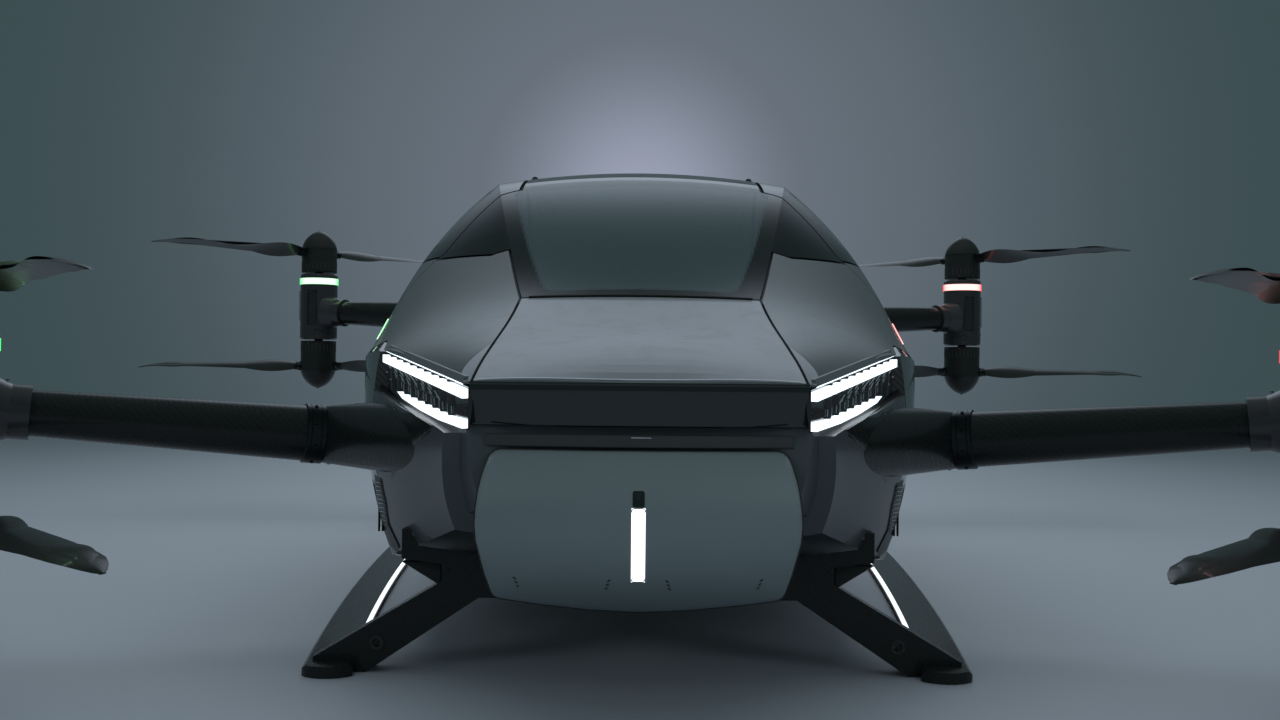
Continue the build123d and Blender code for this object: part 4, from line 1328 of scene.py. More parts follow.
@dataclass
class Nose:
    """Face panel of the nose with its sensor window, slots, edging and seals."""

    axis_y: float = -0.667
    arc_y: float = -1.8047
    arc_z: float = 0.3980
    arc_radius: float = 0.2153
    back_y: float = -1.872
    centre_z: float = 0.385
    top_z: float = 0.538
    rim: tuple[tuple[float, float], ...] = (
        (0.0, 0.538), (0.07, 0.538), (0.14, 0.538), (0.21, 0.538), (0.262, 0.538), (0.28, 0.538),
        (0.2915, 0.5355), (0.3005, 0.5285), (0.3055, 0.519), (0.311, 0.502), (0.3165, 0.481),
        (0.321, 0.459), (0.3252, 0.425), (0.327, 0.391), (0.3243, 0.358), (0.3177, 0.33),
        (0.3088, 0.289), (0.299, 0.25), (0.2955, 0.24), (0.287, 0.2335), (0.27, 0.2305),
        (0.2, 0.2215), (0.1, 0.2105), (0.0, 0.205),
    )

    def _face(self, x: float, z: float, proud: float = 0.0) -> Vector:
        """Return the point of the nose's barrel-shaped face at a place seen from the front."""
        side = self.arc_y - math.sqrt(self.arc_radius ** 2 - (z - self.arc_z) ** 2) - proud
        return Vector((x, self.axis_y - math.sqrt((self.axis_y - side) ** 2 - x * x), z))

    def _outline(self) -> list[tuple[float, float]]:
        """Return the closed outline of the face, seen from the front."""
        return list(self.rim) + [(-x, z) for x, z in self.rim[-2:0:-1]]

    def _panel(self) -> None:
        """Build the face panel as a closed shell."""
        outline = self._outline()
        centre_z = self.centre_z
        shape = bmesh.new()
        middle = shape.verts.new(self._face(0.0, centre_z))
        rows = []
        for share, sink in ((0.12, 0), (0.25, 0), (0.38, 0), (0.5, 0), (0.62, 0), (0.73, 0),
                            (0.83, 0), (0.91, 0),
                            (0.962, 0), (0.982, 0.0008), (0.994, 0.0032), (1.0, 0.0075)):
            rows.append([
                shape.verts.new(self._face(x * share, centre_z + (z - centre_z) * share, -sink))
                for x, z in outline
            ])
        for share in (1.0, 0.985):
            rows.append([shape.verts.new(
                (x * share, self.back_y, centre_z + (z - centre_z) * share)) for x, z in outline])
        count = len(outline)
        for i in range(count):
            j = (i + 1) % count
            shape.faces.new((middle, rows[0][i], rows[0][j]))
            for first, second in zip(rows, rows[1:]):
                shape.faces.new((first[i], second[i], second[j], first[j]))
        shape.faces.new(rows[-1])
        bmesh.ops.recalc_face_normals(shape, faces=shape.faces)
        # The panel's paint is painted lighter than the body's, a painted highlight.
        publish(from_bmesh("nose_face_panel", shape), Palette.nose, replaced=("nose_panel",))

    def _sensor(self, skin: Skin) -> None:
        """Set the sensor window above the upright light."""
        shape = bmesh.new()
        outline = rounded_outline(0.0118, 0.0165, 0.005, 4)
        skin.plate(shape, (0, -3.0, 0.4465), (0, 1, 0), (1, 0, 0), outline, 0.0016, 0.0012)
        made("nose_sensor_window", shape, Palette.gloss)
        lens = bmesh.new()
        point, normal = skin.cast((0, -3.0, 0.452), (0, 1, 0))
        profile = [(0.0, 0.0036), (0.0035, 0.0033), (0.005, 0.0026), (0.0062, 0.0024),
                   (0.0062, 0.0)]
        turned(lens, profile, 32, facing_matrix(point, normal))
        made("nose_sensor_lens", lens, Palette.lens_dark)

    def _slots(self) -> None:
        """Cut four clusters of small slanted slots low in the panel."""
        shape = bmesh.new()
        for x, sense in ((-0.244, -1), (-0.06, 1), (0.06, -1), (0.244, 1)):
            for i in range(3):
                spot = self._face(x + sense * 0.0025 * (i - 1), 0.2745 + 0.0085 * (i - 1), 0.0001)
                turn = Matrix.Rotation(math.radians(38) * sense, 4, "Z")
                slab(shape, (-0.0036, -0.0017, -0.001), (0.0036, 0.0017, 0.0006), 0.0005, 1,
                     facing_matrix(spot, (spot.x * 0.9, -1, -0.25)) @ turn)
        made("nose_slots", shape, Palette.rubber)

    def _edging(self, shop: Workshop) -> None:
        """Edge the gloss band and fill the space above the panel with a satin strip."""
        face = bmesh.new()
        rings = []
        for x in spread(-0.341, 0.682, 24):
            front = -1.988 + FRONT_BOW * x * x
            rings.append([(x, front + a, z) for a, z in (
                (0.031, 0.5855), (0.0275, 0.588), (-0.0014, 0.672), (-0.0008, 0.6742),
                (-0.0002, 0.6742),
                (-0.0002, 0.6585), (0.04, 0.6585), (0.04, 0.5855))])
        lofted(face, rings)
        publish(from_bmesh("nose_band_face", face), Palette.gloss, replaced=("nose_band",))
        band = Skin("nose_band")
        path = band.path([(x, -3.0, 0.5865) for x in spread(-0.302, 0.604, 24)], (0, 1, 0), 0.0004)
        shop.bead("nose_band_lip", [path], 0.0016, Palette.steel_dark)
        strip = bmesh.new()
        rings = []
        for x in spread(-0.312, 0.624, 24):
            face = self._face(x, self.top_z).y
            rings.append([(x, face + a, z) for a, z in (
                (0.003, 0.5445), (0.001, 0.5465), (0.001, 0.5675), (0.003, 0.5695), (0.03, 0.5695),
                (0.03, 0.5445))])
        lofted(strip, rings)
        made("nose_strip", strip, Palette.strip_satin)
        dash = [self._face(x, self.top_z, -0.0008) + Vector((0, 0, 0.0265))
                for x in (-0.016, 0.004, 0.024)]
        shop.bead("nose_strip_dash", [dash], 0.0009, Palette.edge_light)

    def build(self, shop: Workshop) -> None:
        """Fit the nose."""
        self._panel()
        skin = Skin("nose_panel")
        self._sensor(skin)
        self._slots()
        self._edging(shop)
        light = Skin("nose_light")
        rim = [(x, -3.0, z + 0.355) for x, z in rounded_outline(0.0128, 0.0738, 0.004, 4)]
        shop.bead("nose_light_rim", [light.path(rim, (0, 1, 0), 0.0002)], 0.0009, Palette.rubber,
                  closed=True)
        outline = self._outline()
        inset, low = 0.9985, self.centre_z
        seam = [self._face(x * inset, low + (z - low) * inset, -0.006) for x, z in outline]
        shop.bead("nose_panel_seal", [seam], 0.0022, Palette.rubber, closed=True)


@dataclass
class FrontBody:
    """Hood lid, seals, bolts and vent frames of the front."""

    def _lid(self) -> None:
        """Build the hood as one calm, nearly flat panel on the hood's surface."""
        skin = Skin("hood")
        columns, rows = 36, 28
        wall = 0.0145
        front_y, rear_y, front_half, taper = -1.9868, -1.381, 0.333, 0.042
        shape = bmesh.new()
        top = []
        for j in range(rows + 1):
            share = j / rows
            half = front_half - taper * share
            line = []
            for i in range(columns + 1):
                x = half * (2 * i / columns - 1)
                y = (1 - share) * (front_y + FRONT_BOW * x * x) + share * rear_y
                line.append(shape.verts.new(skin.cast((x, y, 2.0), (0, 0, -1))[0]))
            top.append(line)
        rim = (top[0][:-1] + [line[-1] for line in top[:-1]]
               + top[-1][:0:-1] + [line[0] for line in top[:0:-1]])
        low = {vert: shape.verts.new(vert.co - Vector((0, 0, wall)))
               for line in top for vert in line}
        rings = [rim]
        for outward, down in ((0.0007, 0.0005), (0.001, 0.0014), (0.001, wall - 0.0012)):
            ring = []
            for before, vert, after in zip(rim[-1:] + rim[:-1], rim, rim[1:] + rim[:1]):
                along_rim = after.co - before.co
                away = Vector((along_rim.y, -along_rim.x, 0)).normalized()
                ring.append(shape.verts.new(vert.co + away * outward - Vector((0, 0, down))))
            rings.append(ring)
        rings.append([low[vert] for vert in rim])
        for first, second in zip(rings, rings[1:]):
            for a, b, c, d in zip(first, first[1:] + first[:1], second[1:] + second[:1], second):
                shape.faces.new((a, b, c, d))
        faces = []
        for near, far in zip(top, top[1:]):
            for a, b, c, d in zip(near, near[1:], far[1:], far):
                faces.append(shape.faces.new((a, b, c, d)))
                shape.faces.new([low[vert] for vert in (d, c, b, a)])
        bmesh.ops.recalc_face_normals(shape, faces=shape.faces)
        shape.verts.index_update()
        shape.normal_update()
        upper = {vert.index for line in top for vert in line}
        calm = Vector((0, -0.3, 0.954))
        blended = {
            vert.index: (Vector((vert.normal.x * 0.25, vert.normal.y, vert.normal.z)) * 0.15
                         + calm * 0.85).normalized()
            for line in top for vert in line
        }
        piece = from_bmesh("hood_lid", shape)
        mesh = piece.data
        custom = [Vector((0, 0, 0))] * len(mesh.loops)
        for face in mesh.polygons:
            if face.normal.z > 0.3 and all(index in upper for index in face.vertices):
                for loop in face.loop_indices:
                    custom[loop] = blended[mesh.loops[loop].vertex_index]
        mesh.normals_split_custom_set(custom)
        publish(piece, Palette.body, replaced=("hood",))

    def _hood(self, shop: Workshop) -> None:
        """Lay the hood and edge its front with a pale bead, a painted highlight."""
        self._lid()
        skin = Skin("hood")
        # The pale bead just behind the hood's front edge is a painted highlight.
        front = [(x, -1.9575 - 0.024 * (1 - (x / 0.334) ** 2), 2.0)
                 for x in spread(-0.325, 0.65, 24)]
        path = skin.path(front, (0, 0, -1))
        shop.bead("hood_front_edge", [path], 0.0012, Palette.edge_light)

    def _cowl(self, shop: Workshop) -> None:
        """Lay the cowl seal between hood and windscreen."""
        skin = Skin("windscreen")
        points = [(x, -1.371, 2.0) for x in spread(-0.275, 0.55, 30)]
        shop.bead("cowl_seal", [skin.path(points, (0, 0, -1))], 0.0024, Palette.rubber)

    def _brackets(self, shop: Workshop) -> None:
        """Set bolts and their washers on the cheeks and side panels."""
        skin = Skin("cheeks", "side_panels", "lower_hull")
        places = ((0.585, 0.607), (0.562, 0.604), (0.582, 0.571), (0.561, 0.57), (0.52, 0.318),
                  (0.47, 0.318))
        spots = [skin.cast((x, -3.0, z), (0, 1, 0)) for x, z in places]
        shop.screw("cheek_bolts", both_spots(spots), 0.0046, 0.003)
        rings = bmesh.new()
        for point, normal in spots[:4]:
            turned(rings, [(0.0048, 0.0), (0.0048, 0.001), (0.0072, 0.0008), (0.0075, 0.0)], 28,
                   facing_matrix(point, normal))
        made("cheek_bolt_washers", on_both_sides(rings), Palette.rubber)

    def _vents(self, shop: Workshop) -> None:
        """Frame the side vents."""
        front_x, rear_x = 0.6505, 0.671
        front_y, rear_y, low, high = -1.2985, -1.1915, 0.2935, 0.4085
        line = [(front_x, front_y, low), (rear_x, rear_y, low), (rear_x, rear_y, high),
                (front_x, front_y, high)]
        shop.bead("vent_frames", [line, flipped(line)], 0.0026, Palette.rubber, closed=True)

    def build(self, shop: Workshop) -> None:
        """Fit the trim of the front."""
        self._hood(shop)
        self._cowl(shop)
        self._brackets(shop)
        self._vents(shop)
        self._seams(shop)

    def _seams(self, shop: Workshop) -> None:
        """Lay the seals along the windscreen's pillars."""
        skin = Skin("windscreen_frame")
        paths = []
        for sense in (1, -1):
            places = zip(spread(0.262, 0.082, 24), spread(-1.36, 0.7, 24))
            paths.append(skin.path([(sense * x, y, 3.0) for x, y in places], (0, 0, -1)))
        shop.bead("windscreen_inner_seal", paths, 0.0035, Palette.rubber)


@dataclass
class FlankTrim:
    """Dark covers round the arms' roots, ribbed skirts and gussets of the front legs.

    Outlines are given in pixels of the front view, on its left half.
    """

    reach_px: int = 16
    gusset_ahead: float = 2.985
    root_cover: tuple[tuple[float, float], ...] = (
        (381, 384), (392, 391), (404, 401), (420, 412), (440, 424), (432, 431), (421, 440),
        (411, 450), (402, 460), (397, 470), (393, 478), (387, 470), (379, 464), (377, 450),
        (377, 430), (377, 410),
    )
    skirt: tuple[tuple[float, float], ...] = (
        (376, 474), (383, 478), (388, 500), (391, 520), (394, 535), (401, 546), (404, 550),
        (399, 551), (393, 546), (387, 532), (382, 515), (378, 496),
    )

    @staticmethod
    def _level(x: float, y: float) -> float:
        """Return a spot's height in the front view with the camera's roll taken out."""
        return y + (MIDDLE_PX - x) * ROLL_SLOPE

    def _seen(self, skin: Skin, x: float, y: float, proud: float) -> Vector:
        """Return the place of the body behind a spot of the front view.

        Args:
            skin: The body's surface.
            x: The spot, in pixels from the left. Where it misses, the next ones inward are tried.
            y: The spot, in pixels from the top.
            proud: Height above the surface.

        Returns:
            The place.
        """
        level = self._level(x, y)
        for step in range(self.reach_px):
            ray = Vector(((x + step - MIDDLE_PX) / FOCAL_PX, 1,
                          (HORIZON_PX - level) / FOCAL_PX)).normalized()
            point, normal, _, _ = skin.tree.ray_cast(Vector(EYE), ray)
            if point is not None:
                return point + (normal if normal.dot(ray) < 0 else -normal) * proud
        raise ValueError(f"no body behind {x}, {y}")

    def _cover(self, name: str, skin: Skin, outline: Sequence[tuple[float, float]], proud: float,
               finish: Finish) -> None:
        """Lay a closed cover over the body inside an outline of the front view, on both sides."""
        count = len(outline)
        centre = (sum(x for x, _ in outline) / count, sum(y for _, y in outline) / count)
        shape = bmesh.new()
        fronts, backs = [], []
        for share in (0.3, 0.6, 0.85, 1.0):
            spots = [(centre[0] + (x - centre[0]) * share, centre[1] + (y - centre[1]) * share)
                     for x, y in outline]
            rise = proud if share < 1 else proud * 0.35
            fronts.append([shape.verts.new(self._seen(skin, x, y, rise)) for x, y in spots])
            backs.append([shape.verts.new(self._seen(skin, x, y, -0.002)) for x, y in spots])
        tips = [shape.verts.new(self._seen(skin, *centre, height)) for height in (proud, -0.002)]
        loops = [fronts[0], *fronts[1:], backs[-1], *backs[-2::-1]]
        for first, second in zip(loops, loops[1:]):
            for i in range(count):
                j = (i + 1) % count
                shape.faces.new((first[i], second[i], second[j], first[j]))
        for tip, ring in ((tips[0], fronts[0]), (tips[1], backs[0])):
            for i in range(count):
                shape.faces.new((tip, ring[i], ring[(i + 1) % count]))
        bmesh.ops.recalc_face_normals(shape, faces=shape.faces)
        made(name, on_both_sides(shape), finish, smooth_angle=50)

    def build(self, shop: Workshop) -> None:
        """Fit covers, skirts and gussets."""
        skin = Skin("cheeks", "lower_hull", "side_panels")
        self._cover("arm_root_covers", skin, self.root_cover, 0.0022, Palette.skid)
        self._cover("flank_skirts", skin, self.skirt, 0.003, Palette.frame_black)
        ribs = []
        for i in range(11):
            share = i / 10
            x, y = 379.5 + 7.5 * share, 481 + 42 * share
            line = [self._seen(skin, x + across, y + across * 0.12, 0.0038)
                    for across in (-1.5, 0.5, 2.5, 4.0)]
            ribs += [line, flipped(line)]
        shop.bead("flank_skirt_ribs", ribs, 0.0016, Palette.lamp_body, sides=6)
        gusset = bmesh.new()
        corners = []
        for x, y in ((404, 561), (443, 561), (443, 585)):
            rise = (HORIZON_PX - self._level(x, y)) * self.gusset_ahead / FOCAL_PX
            corners.append(((x - MIDDLE_PX) * self.gusset_ahead / FOCAL_PX, EYE[2] + rise))
        rows = [[gusset.verts.new((x, depth, z)) for x, z in corners] for depth in (-1.556, -1.49)]
        gusset.faces.new(rows[0])
        gusset.faces.new(rows[1][::-1])
        for i in range(3):
            j = (i + 1) % 3
            gusset.faces.new((rows[0][i], rows[1][i], rows[1][j], rows[0][j]))
        bmesh.ops.recalc_face_normals(gusset, faces=gusset.faces)
        bevelled(gusset, 0.002, 2)
        made("leg_gussets", on_both_sides(gusset), Palette.skid)


@dataclass
class ArmGear:
    """Collar bolts, socket bolts and pod trim of one pair of arms."""

    end: str
    root: Point
    hub: Point
    pod_radius: float = 0.086

    def _axis(self) -> Vector:
        """Return the left arm's direction, from hull to hub."""
        return (Vector(self.hub) - Vector(self.root)).normalized()

    def _round(self, centre: Point, axis: Vector, radius: float, count: int,
               phase: float = 0.0) -> list[tuple[Point, Point]]:
        """Return places and directions evenly round an axis.

        Args:
            centre: Point of the axis.
            axis: Its direction.
            radius: Distance from it.
            count: How many.
            phase: Share of a step by which they are turned.

        Returns:
            Place and outward direction of each.
        """
        turn = facing_matrix(centre, axis).to_3x3()
        outwards = [turn @ spoke for spoke in spokes(count, phase)]
        return [(Vector(centre) + outward * radius, outward) for outward in outwards]

    def sleeve(self, shop: Workshop) -> bmesh.types.BMesh:
        """Bolt the left collar's sleeve round the tube and return its shape, mirrored too."""
        axis = self._axis()
        root = Vector(self.root)
        sleeve = bmesh.new()
        profile = [(0.069, -0.001), (0.0722, -0.001), (0.0735, 0.0006), (0.0735, 0.0105),
                   (0.0724, 0.0112),
                   (0.0724, 0.0126), (0.0735, 0.0133), (0.0735, 0.0345), (0.0724, 0.0352),
                   (0.0724, 0.0366),
                   (0.0735, 0.0373), (0.0735, 0.0452), (0.0722, 0.0465), (0.069, 0.0465)]
        turned(sleeve, profile, 96, facing_matrix(root, axis))
        spots = self._round(root + axis * 0.024, axis, 0.0735, 8, 0.5)
        spots += self._round(root - axis * 0.022, axis, 0.0705, 8)
        shop.screw(f"collar_bolts_{self.end}", both_spots(spots), 0.0044, 0.0032,
                   Palette.steel_dark)
        return on_both_sides(sleeve)

    def _socket(self, shop: Workshop) -> None:
        """Screw the pod's socket to the tube's outer end."""
        axis = self._axis()
        hub = Vector(self.hub)
        across = axis.cross(Vector((0, 0, 1))).normalized()
        up = across.cross(axis)
        spots = [(hub - axis * 0.062 + up * 0.0835, up), (hub - axis * 0.1 + up * 0.0705, up)]
        shop.screw(f"socket_bolts_{self.end}", both_spots(spots), 0.0048, 0.003)

    def _pod(self, shop: Workshop) -> None:
        """Trim the pod with seams, screws and the cooler's frame."""
        hub = Vector(self.hub)
        up = Vector((0, 0, 1))
        seams = []
        for height in (0.1225, 0.165, -0.104):
            seams.append([
                spot
                for spot, _ in self._round(hub + up * height, up, self.pod_radius - 0.0004, 72)
            ])
        seams += [flipped(line) for line in seams]
        shop.bead(f"pod_seams_{self.end}", seams, 0.0011, Palette.rubber, closed=True, sides=6)
        spots = self._round(hub + up * 0.1705, up, self.pod_radius - 0.0004, 10, 0.25)
        spots += self._round(hub - up * 0.1175, up, self.pod_radius - 0.0004, 10, 0.25)
        shop.screw(f"pod_screws_{self.end}", both_spots(spots), 0.0032, 0.002)
        skin = Skin(f"motor_pod_{self.end}_left")
        outline = rounded_outline(0.0205, 0.081, 0.006, 4)
        frame_line = skin.path(
            [(hub.x + 0.013 + u, hub.y - 1.0, hub.z + 0.0195 + v) for u, v in outline], (0, 1, 0),
            0.0004,
        )
        shop.bead(f"pod_cooler_frames_{self.end}", [frame_line, flipped(frame_line)], 0.0016,
                  Palette.steel_dark,
                  closed=True)
        plates = bmesh.new()
        skin.plate(plates, (hub.x - 0.02, hub.y - 1.0, hub.z - 0.088), (0, 1, 0), (1, 0, 0),
                   rounded_outline(0.026, 0.011, 0.005, 4), 0.0014, 0.001, 3)
        made(f"pod_access_plates_{self.end}", on_both_sides(plates), Palette.spinner)
        ports = bmesh.new()
        for offset in (-0.02, 0.0, 0.02):
            point, normal = skin.cast((hub.x + 1.0, hub.y + offset, hub.z - 0.08), (-1, 0, 0))
            turned(ports, [(0.006, 0.0), (0.006, 0.0012), (0.0045, 0.0014), (0.0044, -0.001)], 20,
                   facing_matrix(point, normal))
        made(f"pod_drains_{self.end}", on_both_sides(ports), Palette.steel_dark)
        for side in Side:
            flip = Vector((side.value, 1, 1))
            shop.run(
                f"pod_cooler_fins_{self.end}_{side.word}",
                (hub + Vector((0.0862, 0, -0.04))) * flip,
                (hub + Vector((0.0862, 0, 0.095))) * flip,
                16, (0.004, 0.06, 0.0036), Palette.pod,
            )

    def build(self, shop: Workshop) -> None:
        """Fit the arms and pods."""
        self._socket(shop)
        self._pod(shop)


def fit_arms(pairs: Sequence[ArmGear], shop: Workshop) -> None:
    """Fit both pairs of arms and join their sleeves into the piece that stands for the collars."""
    sleeves = bmesh.new()
    for pair in pairs:
        pair.build(shop)
        absorb(sleeves, pair.sleeve(shop))
    publish(from_bmesh("arm_sleeves", sleeves), Palette.collar, replaced=("arm_collars",))


@dataclass
class RotorGear:
    """Blade skins, clamps, vents and seams of one left rotor and its mirror image."""

    name: str
    hub: Point
    rise: float
    up: int
    angle_deg: float
    hand: int
    can_near: float

    def _local(self) -> Matrix:
        """Return the place of the left rotor's blade plane."""
        centre = (self.hub[0], self.hub[1], self.hub[2] + self.rise)
        return Matrix.Translation(centre) @ Matrix.Rotation(math.radians(self.angle_deg), 4, "Z")

    def _root(self, turn: float) -> Matrix:
        """Return the place of a blade's root, so far round the shaft."""
        tilt = Matrix.Rotation(math.radians(ROOT_PITCH_DEG * self.hand), 4, "X")
        return self._local() @ Matrix.Rotation(turn, 4, "Z") @ tilt

    def _clamps(self) -> bmesh.types.BMesh:
        """Return the clamps that hold both blade roots."""
        shape = bmesh.new()
        for turn in (0.0, math.pi):
            for radius, half_chord, half_thick, length in (
                (0.086, 0.0275, 0.0145, 0.012), (0.098, 0.0245, 0.012, 0.006),
                (0.106, 0.0265, 0.0125, 0.004),
            ):
                part = bmesh.new()
                rings = []
                for at in (-length / 2, length / 2):
                    rings.append([
                        (radius + at, u, v)
                        for u, v in rounded_outline(half_chord, half_thick, half_thick * 0.8, 5)
                    ])
                lofted(part, rings)
                bevelled(part, 0.0012, 1)
                absorb(shape, part, self._root(turn))
        return shape

    def _blades(self) -> bmesh.types.BMesh:
        """Return the outer skins of both blades, which carry the full width out to the tips."""
        shape = bmesh.new()
        # Radius, chord, pitch in degrees, thickness, rise and camber of each section.
        rows = (
            (0.34, 0.1, 18.6, 0.0104, 0.002, 0.0061), (0.45, 0.098, 15.0, 0.01, 0.002, 0.0051),
            (0.58, 0.094, 11.4, 0.0092, 0.002, 0.004), (0.7, 0.088, 9.6, 0.008, -0.0005, 0.0031),
            (0.77, 0.075, 8.6, 0.0068, -0.003, 0.0026), (0.81, 0.054, 8.0, 0.006, -0.008, 0.0019),
            (0.838, 0.027, 8.0, 0.005, -0.0132, 0.0012),
            (0.8493, 0.006, 8.0, 0.004, -0.0158, 0.0008),
        )
        steps = 14
        for turn in (0.0, math.pi):
            rings = []
            for radius, chord, pitch, thick, rise, camber in rows:
                tilt = math.radians(pitch * self.hand)
                ring = []
                for i in range(2 * steps):
                    side, share = (1, i / steps) if i < steps else (-1, 2 - i / steps)
                    u = (share - 0.5) * chord
                    v = (1 - (2 * share - 1) ** 2) * (camber + side * thick / 2)
                    ring.append((radius, u * math.cos(tilt) - v * math.sin(tilt),
                                 u * math.sin(tilt) + v * math.cos(tilt) + rise))
                rings.append(ring)
            part = bmesh.new()
            lofted(part, rings)
            absorb(shape, part, self._local() @ Matrix.Rotation(turn, 4, "Z"))
        return shape

    def build(self, shop: Workshop) -> None:
        """Fit both rotors of the pair."""
        centre = Vector((self.hub[0], self.hub[1], self.hub[2] + self.rise))
        sense = self.up
        clamps, skins = self._clamps(), self._blades()
        rings, vents, caps = bmesh.new(), bmesh.new(), bmesh.new()
        near = self.hub[2] + self.can_near
        for height, radius in ((centre.z + sense * 0.018, 0.0824),
                               (near + sense * 0.0035, 0.0826)):
            turned(rings, [(radius - 0.006, -0.0012), (radius, -0.0012), (radius, 0.0012),
                           (radius - 0.006, 0.0012)], 72,
                   Matrix.Translation((centre.x, centre.y, height)))
        for outward in spokes(28, 0.5):
            place = Vector((centre.x, centre.y, near + sense * 0.032)) + outward * 0.082
            slab(vents, (-0.0022, -0.017, -0.003), (0.0022, 0.017, 0.0009), 0.0008, 1,
                 facing_matrix(place, outward))
        tip = centre.z + sense * 0.105
        profile = [(0.0, 0.0032), (0.0035, 0.0028), (0.0058, 0.001), (0.0105, -0.0022),
                   (0.0105, -0.005)]
        turned(caps, [(r, h * sense) for r, h in profile], 32,
               Matrix.Translation((centre.x, centre.y, tip)))
        spots = []
        for turn in (0.0, math.pi):
            place = self._root(turn)
            for u in (-0.013, 0.013):
                for v in (1, -1):
                    spots.append((place @ Vector((0.0865, u, 0.0143 * v)),
                                  place.to_3x3() @ Vector((0, 0, v))))
        for outward in spokes(8, 0.5):
            spots.append((
                Vector((centre.x, centre.y, near + sense * 0.0085)) + outward * 0.0818, outward,
            ))
        for side in Side:
            label = self.name.replace("SIDE", side.word)
            body = f"rotor_{label}"
            for word, shape, finish in (
                ("blade_clamps", clamps, Palette.steel_dark),
                ("blade_skins", skins, Palette.rotor),
                ("can_rings", rings, Palette.steel_dark), ("can_vents", vents, Palette.rubber),
                ("spinner_tip", caps, Palette.steel_dark),
            ):
                copy = shape.copy() if side is Side.LEFT else mirrored(shape)
                made(f"{word}_{label}", copy, finish, body)
            flip = Vector((side.value, 1, 1))
            placed = [(Vector(spot) * flip, Vector(normal) * flip) for spot, normal in spots]
            shop.screw(f"rotor_screws_{label}", placed, 0.0034, 0.0022, body=body, sides=10)
        for shape in (clamps, skins, rings, vents, caps):
            shape.free()


def ribbon(shape: bmesh.types.BMesh, path: Sequence[Point], across: Point, width: float,
           thickness: float) -> None:
    """Add a flat strap along a path to a bmesh.

    Args:
        shape: The bmesh.
        path: Points of the strap's middle.
        across: Direction of its width.
        width: Its width.
        thickness: Its thickness.
    """
    points = [Vector(point) for point in path]
    rings = []
    for i, point in enumerate(points):
        run = points[min(i + 1, len(points) - 1)] - points[max(i - 1, 0)]
        side = Vector(across)
        side = (side - run * (side.dot(run) / run.length_squared)).normalized()
        normal = run.cross(side).normalized()
        corners = rounded_outline(width / 2, thickness / 2, thickness * 0.45, 2)
        rings.append([point + side * u + normal * v for u, v in corners])
    lofted(shape, rings)


@dataclass
class SkidGear:
    """Soles, glowing strips, bushes and bolts of both skids."""

    line: tuple[tuple[float, float], ...] = ((0.705, -1.6), (0.858, -0.225), (0.935, 1.15))
    half: float = 0.0575

    def _x(self, y: float) -> float:
        """Return the runner's centre line at a place along it."""
        (x0, y0), (x1, y1), (x2, y2) = self.line
        return (
            x0 * (y - y1) * (y - y2) / ((y0 - y1) * (y0 - y2))
            + x1 * (y - y0) * (y - y2) / ((y1 - y0) * (y1 - y2))
            + x2 * (y - y0) * (y - y1) / ((y2 - y0) * (y2 - y1))
        )

    def _strip(self, name: str, shift: float, rise: float, y_range: tuple[float, float],
               width: float,
               thickness: float, across: Point, finish: Finish) -> None:
        """Lay a strip along both runners.

        Args:
            name: Name of the strip.
            shift: Distance from the runner's middle, outward.
            rise: Height.
            y_range: Its ends.
            width: Its width.
            thickness: Its thickness.
            across: Direction of its width.
            finish: Its finish.
        """
        low, high = y_range
        path = [(self._x(y) + shift, y, rise) for y in spread(low, high - low, 40)]
        shape = bmesh.new()
        ribbon(shape, path, across, width, thickness)
        made(name, on_both_sides(shape), finish)

    def _bushes(self) -> None:
        """Set a bush in each face of every lashing eye."""
        shape = bmesh.new()
        for x, z, y in ((0.6, 0.068, -1.52), (0.8, 0.09, 1.0)):
            for sense in (1, -1):
                place = facing_matrix((x, y + sense * 0.04, z), (0, sense, 0))
                turned(shape,
                       [(0.0098, -0.002), (0.0098, 0.0022), (0.0112, 0.0032), (0.0158, 0.0032),
                               (0.0168, 0.0022), (0.0168, -0.002)], 40, place)
        made("lashing_bushes", on_both_sides(shape), Palette.rubber)

    def _bolts(self, shop: Workshop) -> None:
        """Bolt the legs to hull and runners."""
        skin = Skin("skid_left")
        front = ((0.4, 0.235), (0.44, 0.235), (0.36, 0.245))
        rear = ((0.86, 0.07), (0.9, 0.05), (0.5, 0.31), (0.53, 0.29), (0.45, 0.3))
        spots = [skin.cast((x, -3.0, z), (0, 1, 0)) for x, z in front]
        spots += [skin.cast((x, 3.0, z), (0, -1, 0)) for x, z in rear]
        shop.screw("skid_leg_bolts", both_spots(spots), 0.005, 0.003, Palette.steel_dark)

    def build(self, shop: Workshop) -> None:
        """Fit both skids."""
        # A thin strip glowing with its own light along each runner's inner top edge.
        self._strip("skid_wear_strips", -self.half + 0.0045, 0.0223, (-1.42, 0.3), 0.013, 0.0024,
                    (0.7, 0, 0.72), Palette.strip_light)
        for word, sense in (("inner", -1), ("outer", 1)):
            self._strip(f"skid_sole_lips_{word}", sense * (self.half - 0.0005), 0.0044,
                        (-1.57, 1.13), 0.006, 0.003,
                        (0, 0, 1), Palette.rubber)
        self._bushes()
        self._bolts(shop)


@dataclass(frozen=True)
class CushionPlan:
    """One stuffed piece in its own axes: X across, Y along, Z outwards."""

    name: str
    half: tuple[float, float, float]
    corner: float
    finish: Finish
    cap: float = 0.012
    channels: tuple[float, ...] = ()
    voxel: float = 0.006


